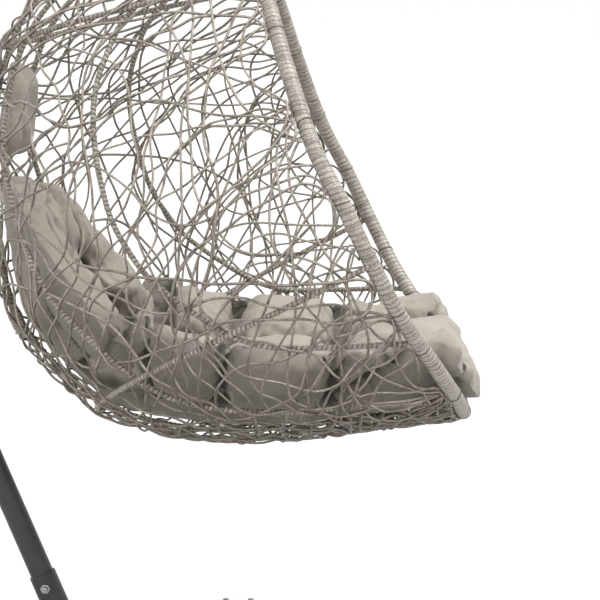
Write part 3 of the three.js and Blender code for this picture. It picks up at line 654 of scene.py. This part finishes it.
def build_weave():
    weave = Weave()
    hoops = tree_of(np.vstack([hoop_points(*shape) for shape in HOOPS.values()]))
    bundles = {1: Bundle(), -1: Bundle()}
    count = 0
    laid = 0.0
    side = 1
    while laid < STRAND_TOTAL:
        length = random.uniform(1.8, 3.6)
        places = (random.uniform(0.7, 9.5) for _ in range(24))
        start = min((weave.crowd(weave.sample(s, side * 78)[0]) + random.random(), s) for s in places)[1]
        across = np.linalg.norm(weave.sample(start, side * 88)[3])
        heading = -side * math.pi / 2 + random.uniform(-0.9, 0.9)
        points, normals = weave.strand(start, side * (90 - (RIM_R + STRAND_R) / across), heading, length)
        along = np.arange(len(points)) * STRAND_STEP
        wave = random.uniform(0.085, 0.17)
        lift = 8 * MM + random.uniform(2.5, 7) * MM * np.sin(2 * math.pi * (along / wave + random.random()))
        near = 1 - ease(np.array([hoops.find(p)[2] for p in points]), CLEAR_OF_HOOP[0], CLEAR_OF_HOOP[1])
        crossing = UNDER_HOOP if count % 3 == 0 else OVER_HOOP
        count += 1
        lift += (crossing - lift) * near
        points = smooth_path(points + normals * lift[:, None])
        radius = STRAND_R * random.uniform(0.9, 1.12)
        bundles[side].add(points, radius, random.random())
        laid += along[-1]
        side = -side
    add_ties(weave, bundles)
    for name, side in (("left", 1), ("right", -1)):
        replaced = [f"weave_{field}_{name}" for field in ("upper", "middle", "lower")]
        bundles[side].piece(f"strands_{name}", STRAND_WICKER, replaced)


def add_ties(weave, bundles):
    """Where strands touch the rim, a loop of strand holds them to it."""
    rim = weave.rim
    spacing = np.linalg.norm(rim[1] - rim[0])
    used = []
    normals, binormals = path_frames(rim, True)
    for index in sorted(set(weave.contacts)):
        apart = (abs(index - other) for other in used)
        if any(min(gap, len(rim) - gap) * spacing < TIE_SPACING for gap in apart):
            continue
        used.append(index)
        tangent = unit(np.roll(rim, -1, 0)[index] - rim[index - 1])[0]
        turns = np.linspace(0, 2 * math.pi, 22)[:-1]
        lean = random.uniform(-0.25, 0.25)
        ring = (rim[index] + (RIM_R + 0.4 * MM) * (normals[index] * np.cos(turns)[:, None]
                + binormals[index] * np.sin(turns)[:, None])
                + tangent * (RIM_R * lean * np.cos(turns + 1))[:, None])
        bundles[1 if rim[index][0] > 0 else -1].add(ring, TIE_R, 0.3, 0.6, closed=True)


# ---------------- cushions
SEAM_WIDTH = 0.022
UNDERSIDE_SHADE = 0.52
CLOTH_FRAMES = 20


def remeshed(name, node, inset, voxel, rounding=12):
    """An even quad mesh of a CAD pad, drawn in a little all round."""
    piece = add_object(name, frame["nodes"][node].data.copy())
    mesh = bmesh.new()
    mesh.from_mesh(piece.data)
    bmesh.ops.remove_doubles(mesh, verts=mesh.verts, dist=1e-5)
    bmesh.ops.recalc_face_normals(mesh, faces=mesh.faces)
    mesh.to_mesh(piece.data)
    mesh.free()
    modifier = piece.modifiers.new("remesh", "REMESH")
    modifier.mode = "VOXEL"
    modifier.voxel_size = voxel
    smooth = piece.modifiers.new("smooth", "SMOOTH")
    smooth.iterations = rounding
    apply_modifiers(piece)
    move_vertices(piece, coordinates(piece) - normals_of(piece) * inset)
    return piece


def apply_modifiers(piece):
    evaluated = piece.evaluated_get(bpy.context.evaluated_depsgraph_get())
    old = piece.data
    piece.data = bpy.data.meshes.new_from_object(evaluated)
    piece.modifiers.clear()
    bpy.data.meshes.remove(old)


def vectors(rows, key):
    values = np.empty(len(rows) * 3, np.float32)
    rows.foreach_get(key, values)
    return values.reshape(-1, 3).astype(float)


def coordinates(piece):
    return vectors(piece.data.vertices, "co")


def normals_of(piece):
    return vectors(piece.data.vertex_normals, "vector")


def move_vertices(piece, co):
    piece.data.vertices.foreach_set("co", co.astype(np.float32).ravel())
    piece.data.update()


def distance_to_paths(flat, paths):
    """Each point's distance to the nearest of some paths, in the pad's own flat coordinates."""
    nearest = np.full(len(flat), 1e9)
    for path in paths:
        path = np.asarray(path, float)
        for a, b in zip(path[:-1], path[1:]):
            edge = b - a
            t = np.clip(((flat - a) @ edge) / max(edge @ edge, 1e-12), 0, 1)
            nearest = np.minimum(nearest, np.linalg.norm(flat - a - t[:, None] * edge, axis=1))
    return nearest


def inflate(piece, held, pressure, cap):
    """Cloth under pressure with the held vertices fixed; no point moves more than cap."""
    start = coordinates(piece)
    group = piece.vertex_groups.new(name="held")
    for index in np.nonzero(held > 0.02)[0]:
        group.add([int(index)], float(held[index]), "REPLACE")
    cloth = piece.modifiers.new("cloth", "CLOTH")
    settings = cloth.settings
    settings.quality = 4
    settings.mass = 0.25
    settings.tension_stiffness = 12
    settings.compression_stiffness = 12
    settings.shear_stiffness = 4
    settings.bending_stiffness = 0.25
    settings.use_pressure = True
    settings.uniform_pressure_force = pressure
    settings.vertex_group_mass = "held"
    settings.shrink_min = -0.05
    settings.effector_weights.gravity = 0
    cloth.collision_settings.use_collision = False
    scene = bpy.context.scene
    cloth.point_cache.frame_start = 1
    cloth.point_cache.frame_end = CLOTH_FRAMES
    for step in range(1, CLOTH_FRAMES + 1):
        scene.frame_set(step)
    evaluated = piece.evaluated_get(bpy.context.evaluated_depsgraph_get())
    move = vectors(evaluated.data.vertices, "co") - start
    far = np.linalg.norm(move, axis=1, keepdims=True)
    move *= np.minimum(1, cap / np.maximum(far, 1e-9))
    piece.modifiers.clear()
    piece.vertex_groups.clear()
    scene.frame_set(1)
    move_vertices(piece, start + move)


def finish_pad(piece, painted_shade, node):
    """Writes the painted-shade attribute, darker in the creases and underneath, subdivides once and hands the
    pad to the frame.
    """
    heights = coordinates(piece)[:, 2]
    # Painted shade: faces turned downward are darkened, less so above 0.7 m.
    underside = ease(-normals_of(piece)[:, 2], -0.5, 0.5) * (1 - 0.6 * ease(heights, 0.70, 0.92))
    layer = piece.data.attributes.new("painted_shade", "FLOAT", "POINT")
    darkness = np.clip(painted_shade + UNDERSIDE_SHADE * underside, 0, 1)
    layer.data.foreach_set("value", darkness.astype(np.float32))
    subdivide = piece.modifiers.new("subdivide", "SUBSURF")
    subdivide.levels = subdivide.render_levels = 1
    apply_modifiers(piece)
    piece.data.shade_smooth()
    settle(piece, FABRIC, "basket", [node])


def ease(values, first, last):
    """Rises smoothly from 0 at first to 1 at last."""
    t = np.clip((values - first) / (last - first), 0, 1)
    return t * t * (3 - 2 * t)


def tufted_pad(name, node, flat_of, seams, tufts, *, seam_depth, tuft_depth, pressure, cap, voxel,
               reshape, rounding=12):
    """A pad drawn in along its seams and at its tufts, then blown up between them."""
    width = SEAM_WIDTH
    piece = remeshed(name, node, 6 * MM, voxel, rounding)
    co = coordinates(piece)
    co = co + reshape(co)
    move_vertices(piece, co)
    normals = normals_of(piece)
    flat, face, carved = flat_of(co, normals)
    seam = distance_to_paths(flat, seams)
    tuft = distance_to_paths(flat, [[t, t] for t in tufts])
    draw = seam_depth * np.exp(-(seam / width) ** 2) + tuft_depth * np.exp(-(tuft / (1.7 * width)) ** 2)
    ripple = 0.0022 * (np.sin(co @ (41, 23, 67)) + np.sin(co @ (-29, 71, 37)))
    move_vertices(piece, co - normals * ((draw + ripple) * carved)[:, None])
    held = np.clip(1.25 - np.minimum(seam, tuft - 0.006) / (0.55 * width), 0, 1) * (face > 0.3)
    inflate(piece, np.maximum(held, 1.0 * (face <= 0.02)), pressure, cap)
    piece.modifiers.new("relax", "SMOOTH").iterations = 2
    apply_modifiers(piece)
    narrow = np.exp(-(seam / (0.36 * width)) ** 2)
    point = np.exp(-(tuft / (0.7 * width)) ** 2)
    co = coordinates(piece)
    normals = normals_of(piece)
    folds = (np.sin(flat[:, 0] * 230 + 3 * np.sin(flat[:, 1] * 50))
             + np.sin(flat[:, 1] * 150 + co[:, 2] * 120 + 2 * np.sin(co[:, 0] * 30)))
    pucker = 0.0024 * np.exp(-(seam / 0.055) ** 2) * folds
    extra = (0.010 * narrow + 0.012 * point + pucker) * carved
    move_vertices(piece, co - normals * extra[:, None])
    # Painted shade: the cloth is darkened along the seams and at the tufts, where it is drawn in.
    finish_pad(piece, np.clip(narrow * 0.85 + point, 0, 1) * carved, node)


def seat_flat(co, normals):
    """The seat's plan, how much each point swells, and how far its seams draw it in."""
    swells = np.clip((normals[:, 2] + 0.75) / 0.5, 0, 1)
    return co[:, :2], swells, np.maximum(swells, ease(np.abs(co[:, 0]), 0.14, 0.24))


def wall_flat(node):
    """The same for a pad on the basket's back, whose plan is metres across and down."""
    lowest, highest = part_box(node)

    def flat_of(co, normals):
        s, a = np.meshgrid(np.linspace(1.8, 6.2, 90), np.linspace(-60, 60, 81), indexing="ij")
        grid = surface(s.ravel(), a.ravel(), -0.05)
        tree = tree_of(grid)
        found = [tree.find(p)[1] for p in co]
        inward = unit(grid - surface(s.ravel(), a.ravel()))[found]
        across = np.radians(a.ravel()[found]) * 0.42
        down = highest[2] - co[:, 2] + 0.25 * (co[:, 1] - lowest[1])
        face = np.clip((np.sum(normals * inward, axis=1) + 0.45) / 0.6, 0, 1)
        return np.stack([across, down], 1), face, np.maximum(face, 0.6)

    return flat_of


def rear_puff(co):
    """The seat's rear rises and presses back against the back pad."""
    amount = ease(co[:, 1], -0.06, 0.08) * ease(co[:, 2], 0.58, 0.68)
    return amount[:, None] * np.array([0, 0.026, 0.034])


def lower_tuck(co):
    """The back pad's lower end sinks down on to the seat."""
    amount = 1 - ease(co[:, 2] + 0.55 * co[:, 1], 0.70, 0.82)
    return amount[:, None] * np.array([0, -0.014, -0.012])


def set_back(co):
    """The head pillow lies back against the weave."""
    return np.array([0, 6 * MM, 0])


def build_cushions():
    rows, columns = (-0.47, -0.318, -0.117, 0.03), (-0.2, 0.0, 0.2)
    low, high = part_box("seat_cushion")
    seams = [[(low[0], y), (-0.2, y + 0.012), (0.0, y), (0.2, y + 0.012), (high[0], y)] for y in rows[1:]]
    seams += [[(x * 1.5, low[1] - 0.02), (x * 1.12, rows[0]), (x, rows[1]), (x, high[1])] for x in columns]
    seams += [[(x * 2.6, low[1] + 0.03), (x * 1.4, rows[1])] for x in (-0.2, 0.2)]
    tufts = [(x, y) for x in columns for y in rows[1:]]
    tufted_pad("seat_pad", "seat_cushion", seat_flat, seams, tufts, seam_depth=0.030, tuft_depth=0.040,
               pressure=6.0, cap=0.036, voxel=6 * MM, reshape=rear_puff)

    low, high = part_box("back_cushion")
    tall = high[2] - low[2]
    shares = (-0.66, -0.22, 0.22, 0.66)
    seams = [[(0.17 * share, -0.08), (0.36 * share, tall + 0.12)] for share in shares]
    tufts = [(0.27 * share, 0.5 * tall) for share in shares]
    tufted_pad("back_pad", "back_cushion", wall_flat("back_cushion"), seams, tufts, seam_depth=0.020,
               tuft_depth=0.022, pressure=5.0, cap=0.030, voxel=6 * MM, reshape=lower_tuck)

    above = [[(0, -0.1), (0.001, -0.1)]]
    tufted_pad("pillow_pad", "head_pillow", wall_flat("head_pillow"), above, [], seam_depth=0, tuft_depth=0,
               pressure=3.0, cap=0.008, voxel=5 * MM, reshape=set_back, rounding=60)


# ---------------- stand and hardware
def body_of(node):
    return frame["nodes"][node]["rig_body"]


def refined(node, look, bevel):
    """The CAD piece with its hard edges rounded."""
    piece = add_object(f"fine_{node}", frame["nodes"][node].data.copy())
    mesh = bmesh.new()
    mesh.from_mesh(piece.data)
    bmesh.ops.remove_doubles(mesh, verts=mesh.verts, dist=1e-5)
    bmesh.ops.dissolve_limit(mesh, angle_limit=math.radians(1), verts=mesh.verts, edges=mesh.edges)
    mesh.to_mesh(piece.data)
    mesh.free()
    modifier = piece.modifiers.new("bevel", "BEVEL")
    modifier.width = bevel
    modifier.segments = 3
    modifier.limit_method = "ANGLE"
    modifier.angle_limit = math.radians(38)
    apply_modifiers(piece)
    piece.data.shade_smooth()
    settle(piece, look, body_of(node), [node])


def lathe(start, direction, profile, sides=48, closed=False):
    """Vertices and faces of a solid of revolution; profile is (distance along the axis, radius) pairs."""
    axis = Vector(direction).normalized()
    across = axis.orthogonal().normalized()
    beside = axis.cross(across)
    angles = 2 * math.pi * np.arange(sides) / sides
    circle = np.cos(angles)[:, None] * np.array(across) + np.sin(angles)[:, None] * np.array(beside)
    vertices = np.vstack([np.array(Vector(start) + axis * d) + r * circle for d, r in profile])
    rows = len(profile)
    faces = [(k * sides + i, k * sides + (i + 1) % sides, (k + 1) % rows * sides + (i + 1) % sides,
              (k + 1) % rows * sides + i) for k in range(rows if closed else rows - 1) for i in range(sides)]
    if not closed:
        faces.append(tuple(range(sides))[::-1])
        faces.append(tuple(range((rows - 1) * sides, rows * sides)))
    return vertices, faces


def turned(name, start, direction, profile, look, node, sides=48):
    gathered(name, [lathe(start, direction, profile, sides)], look, node)


def sharpen(piece, degrees):
    """Edges sharper than the angle stay crisp under smooth shading."""
    mesh = bmesh.new()
    mesh.from_mesh(piece.data)
    for edge in mesh.edges:
        edge.smooth = len(edge.link_faces) == 2 and edge.calc_face_angle(0) < math.radians(degrees)
    mesh.to_mesh(piece.data)
    mesh.free()


def swept(name, points, radius, node, sides=32, taper=0.0):
    """A coated round bar along a path, its ends drawn in by the taper."""
    radii = np.full((len(points), 1), radius)
    radii[0] = radii[-1] = radius - taper
    gathered(name, [tube(points, radii, sides)], COAT, node)


POLE_UP = Vector((0, math.sin(POLE_LEAN), math.cos(POLE_LEAN)))
ARC_START = SOCKET_TOP + POLE_UP * STRAIGHT_LENGTH
ARC_CENTRE = ARC_START + Vector((0, -math.cos(POLE_LEAN), math.sin(POLE_LEAN))) * ARC_R
SLEEVE_MIDDLE = STRAIGHT_LENGTH - INSERT_DEPTH / 2 - 0.02
RING_CENTRE_Y = RING_R + RING_TUBE_R - (ARC_CENTRE.y + ARC_R + POLE_R)


def sleeve(name, first, last, node):
    """A sleeve over the pole, its outer rims rounded."""
    length = last - first
    bore = POLE_R + 0.2 * MM
    edge = 1.2 * MM
    profile = [(4 * MM, bore), (0, bore), (0, SLEEVE_R - edge), (edge, SLEEVE_R), (length - edge, SLEEVE_R),
               (length, SLEEVE_R - edge), (length, bore), (length - 4 * MM, bore)]
    turned(name, SOCKET_TOP + POLE_UP * first, POLE_UP, profile, COAT, node, 64)


def build_pole():
    foot = SOCKET_TOP - POLE_UP * INSERT_DEPTH
    straight = [(0, POLE_R), (SLEEVE_MIDDLE + INSERT_DEPTH, POLE_R)]
    turned("straight_pole", foot, POLE_UP, straight, COAT, "pole_lower", 64)
    half = INSERT_DEPTH / 2
    sleeve("pole_joint_sleeve", SLEEVE_MIDDLE - half, SLEEVE_MIDDLE + half, "pole_sleeve")
    to_beam = (SOCKET_TOP.z - RING_Z) / math.cos(POLE_LEAN)
    sleeve("socket_sleeve", -to_beam, 0, "base_socket")
    first = math.atan2(ARC_START.z - ARC_CENTRE.z, ARC_START.y - ARC_CENTRE.y)
    last = math.acos((HANG_Y - 0.034 - ARC_CENTRE.y) / ARC_R)
    bend = [ARC_CENTRE + Vector((0, math.cos(a), math.sin(a))) * ARC_R for a in np.linspace(first, last, 121)]
    straight_run = [SOCKET_TOP + POLE_UP * d for d in np.linspace(SLEEVE_MIDDLE, STRAIGHT_LENGTH, 6)[:-1]]
    swept("curved_pole", straight_run + bend, POLE_R, "pole_upper", 64)
    outward = (bend[-1] - bend[-2]).normalized()
    cap = [(-0.4 * MM, POLE_R - 0.4 * MM), (0, POLE_R), (2.6 * MM, POLE_R), (4 * MM, POLE_R - 1.4 * MM),
           (5.6 * MM, POLE_R - 6 * MM), (6.6 * MM, POLE_R - 13 * MM), (7 * MM, 2 * MM)]
    turned("tip_cap", bend[-1] + outward * 0.4 * MM, outward, cap, RUBBER, "pole_end_cap")


def weld_bead(name, points, radius, node):
    """A rippled weld bead along a path; it rides with the piece it joins."""
    centres, along = resample(points, 1.5 * MM, True)
    radii = radius * (1 + 0.16 * np.sin(along * 2 * math.pi / (5 * MM)) + 0.08 * rng.random(len(along)))
    vertices, faces = tube(centres, radii[:, None], 10, True)
    new_piece(name, vertices, faces, COAT, body_of(node), [])


def build_base():
    for half, start in (("rear", 0), ("front", 180)):
        angles = np.radians(np.linspace(start + 0.15, start + 179.85, 181))
        points = [(RING_R * math.cos(a), RING_CENTRE_Y + RING_R * math.sin(a), RING_Z) for a in angles]
        swept(f"ring_{half}", points, RING_TUBE_R, f"base_ring_{half}", 48, 0.8 * MM)
    half = RING_R - 4 * MM
    beam = [(0, RING_TUBE_R), (2 * half, RING_TUBE_R)]
    turned("cross_beam", (0, RING_CENTRE_Y - half, RING_Z), (0, 1, 0), beam, COAT, "base_beam", 64)
    circle = np.linspace(0, 2 * math.pi, 97)[:-1]
    for side, y in (("front", -RING_R), ("rear", RING_R)):
        sign = -1 if side == "front" else 1
        bead = [(RING_TUBE_R * math.cos(t), RING_CENTRE_Y + y - sign * RING_TUBE_R * abs(math.cos(t)) * 1.02,
                 RING_Z + RING_TUBE_R * math.sin(t)) for t in circle]
        weld_bead(f"beam_weld_{side}", bead, 2.2 * MM, "base_beam")
    foot = SOCKET_TOP - POLE_UP * (SOCKET_TOP.z - RING_Z) / math.cos(POLE_LEAN)
    side_ways = Vector((1, 0, 0))
    front_ways = side_ways.cross(POLE_UP)
    bead = []
    for t in circle:
        radial = (side_ways * math.cos(t) + front_ways * math.sin(t)) * SLEEVE_R
        x = max(-RING_TUBE_R * 0.98, min(RING_TUBE_R * 0.98, radial.x))
        top = RING_Z + math.sqrt(RING_TUBE_R ** 2 - x * x)
        base = foot + radial
        bead.append(tuple(base + POLE_UP * (top - base.z) / math.cos(POLE_LEAN)))
    weld_bead("socket_weld", bead, 2.4 * MM, "base_socket")
    rubber = [(d * MM, r * MM) for d, r in (
        (0, 25.5), (0.8, 27), (3.4, 27), (4.2, 26), (5, 26.7), (9, 26), (10, 25), (11, 25.6), (17, 24.4),
        (18, 23.2))]
    for corner in ("front_left", "rear_left", "rear_right", "front_right"):
        low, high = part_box(f"foot_{corner}")
        centre = ((low.x + high.x) / 2, (low.y + high.y) / 2, 0)
        turned(f"pad_{corner}", centre, (0, 0, 1), rubber, RUBBER, f"foot_{corner}")
    for node in ("beam_strap_front", "beam_strap_rear", "socket_gusset_front", "socket_gusset_rear"):
        refined(node, COAT, 1.0 * MM)


# Heights of the hanging hardware, as in the CAD.
WIRE_R = 4.5 * MM
RING_LOOP_R, RING_LOOP_Z = 15 * MM, 1.6038
HOOK_LOOP_R, HOOK_LOOP_Z = 14 * MM, 1.6232
HOUSING_Z = 1.6492
COIL_R, COIL_WIRE_R, COIL_TURNS = 20 * MM, 3 * MM, 8
COIL_Z = (1.6732, 1.7652)
EYE_LOOP_R, EYE_LOOP_Z = 14 * MM, 1.7937
EYE_BAR_Z, EYE_BAR_R = 1.8534, 6 * MM


def gathered(name, parts, look, node):
    """Tubes and turned shapes in one piece, crisp at their edges, in the place of a CAD node."""
    vertices, faces, count = [], [], 0
    for shape, sides in parts:
        vertices.append(shape)
        faces += [[i + count for i in face] for face in sides]
        count += len(shape)
    sharpen(new_piece(name, np.vstack(vertices), faces, look, body_of(node), [node]), 40)


def arc(radius, z, first, last, axis):
    """Points round the hanging line at a height, from one angle to another, towards axis 0 (X) or 1 (Y)."""
    angles = np.radians(np.linspace(first, last, 72))
    points = np.zeros((len(angles), 3)) + on_line(z)
    points[:, axis] += radius * np.cos(angles)
    points[:, 2] += radius * np.sin(angles)
    return points


def ring(radius, z):
    return tube(arc(radius, z, 0, 355, 1), WIRE_R, 20, closed=True)


def on_line(z):
    return (0, HANG_Y, z)


def build_spring():
    turn = np.linspace(0, 1, COIL_TURNS * 40 + 1)
    angle = 2 * math.pi * COIL_TURNS * turn
    low, high = COIL_Z[0] + COIL_WIRE_R, COIL_Z[1] - COIL_WIRE_R
    helix = np.stack([COIL_R * np.cos(angle), HANG_Y + COIL_R * np.sin(angle), low + (high - low) * turn], 1)
    vertices, faces = tube(helix, COIL_WIRE_R, 16)
    spring = new_piece("spring_wire", vertices, faces, ZINC, None, ["spring_coil"])
    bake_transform(spring)
    plug = [(d * MM, r * MM) for d, r in (
        (-22, 13.5), (-20.5, 15), (2, 15), (3, 14), (8.2, 8.4), (9, 5.5), (13, 5.5))]
    parts = [ring(EYE_LOOP_R, EYE_LOOP_Z), lathe(on_line(COIL_Z[1]), (0, 0, 1), plug)]
    gathered("spring_upper_end", parts, ZINC, "spring_upper_plug")


def build_hook():
    hook = arc(HOOK_LOOP_R, HOOK_LOOP_Z, 90, 385, 0)
    rise = HOUSING_Z - HOOK_LOOP_Z - HOOK_LOOP_R
    head = [(6.3, 4.5), (6.3, 10.5), (6.8, 11), (12.5, 11), (13, 10.5)]
    stem = [(-3 * MM, WIRE_R)] + [(rise + d * MM, r * MM) for d, r in head]
    radii = np.full((len(hook), 1), WIRE_R)
    radii[-4:, 0] = WIRE_R * np.array([0.98, 0.88, 0.66, 0.3])
    parts = [tube(hook, radii, 20), lathe(on_line(HOOK_LOOP_Z + HOOK_LOOP_R), (0, 0, 1), stem)]
    gathered("swivel_hook_wire", parts, ZINC, "swivel_hook")
    gathered("basket_ring_wire", [ring(RING_LOOP_R, RING_LOOP_Z)], ZINC, "basket_ring")
    housing = [(d * MM, r * MM) for d, r in (
        (0, 6), (0, 14.5), (0.5, 15), (4, 17), (9, 17), (9.6, 16.4), (10.8, 16.4), (11.4, 17), (21.4, 17),
        (22, 16.4), (22, 12), (6, 12), (6, 6))]
    shape = lathe(on_line(HOUSING_Z), (0, 0, 1), housing, closed=True)
    gathered("swivel_cup", [shape], ZINC, "swivel_housing")


def build_eye():
    """The U-shaped bar under the pole's tip; its legs end inside the pole's wall."""
    half, bend = 21 * MM, 12 * MM
    top = ARC_CENTRE.z + ARC_R - POLE_R
    corner = np.radians(np.linspace(0, 90, 16))
    rear = [(0, HANG_Y + half - bend + bend * math.cos(a), EYE_BAR_Z + bend - bend * math.sin(a))
            for a in corner]
    front = [(0, 2 * HANG_Y - y, z) for _, y, z in rear[::-1]]
    points = [(0, HANG_Y + half, top), *rear, *front, (0, HANG_Y - half, top)]
    swept("hanging_bar", points, EYE_BAR_R, "hanging_eye")
    bead_r = EYE_BAR_R + 0.6 * MM
    turns = np.linspace(0, 2 * math.pi, 49)[:-1]
    for side, y in (("rear", HANG_Y + half), ("front", HANG_Y - half)):
        seat = ARC_CENTRE.z + math.sqrt((ARC_R - POLE_R) ** 2 - (y - ARC_CENTRE.y) ** 2)
        bead = [(bead_r * math.cos(t), y + bead_r * math.sin(t), seat) for t in turns]
        weld_bead(f"eye_weld_{side}", bead, 1.8 * MM, "hanging_eye")


def build_hardware():
    """The bolts, nuts and other CAD nodes that nothing has replaced yet."""
    slots = {row["node"]: row["material_slot"] for row in frame["record"]["subparts"]}
    looks = {slot: look for look, slot in SLOTS.items()}
    for nodes in frame["record"]["behaviour"]["bodies"].values():
        for node in nodes:
            if not frame["nodes"][node].hide_render:
                refined(node, looks[slots[node]], 0.5 * MM)


# ---------------- floor and light
SUNS = (("key", (0.15, 0.5, -1), 26, 3.0), ("edge", (0.8, -0.5, -0.4), 10, 0.5))
FLOOR_HALF = 400


def build_studio():
    floor = bpy.data.meshes.new("floor")
    corners = [(x * FLOOR_HALF, y * FLOOR_HALF, 0) for x, y in ((-1, -1), (1, -1), (1, 1), (-1, 1))]
    floor.from_pydata(corners, [], [(0, 1, 2, 3)])
    plane = add_object("floor", floor)
    floor.materials.append(material("floor", (0.62, 0.62, 0.62), 0.9)[0])

    world = bpy.data.worlds.new("world")
    bpy.context.scene.world = world
    world.use_nodes = True
    world.node_tree.nodes["Background"].inputs["Color"].default_value = (1, 1, 1, 1)
    world.node_tree.nodes["Background"].inputs["Strength"].default_value = 1.0
    for name, direction, spread, strength in SUNS:
        light = bpy.data.lights.new(name, "SUN")
        light.angle = math.radians(spread)
        light.energy = strength
        add_object(name, light).rotation_euler = Vector(direction).to_track_quat("-Z", "Y").to_euler()
    bpy.context.scene.view_settings.view_transform = "Standard"


build_basket_frame()
build_weave()
build_cushions()
build_pole()
build_base()
build_spring()
build_hook()
build_eye()
build_hardware()
build_studio()
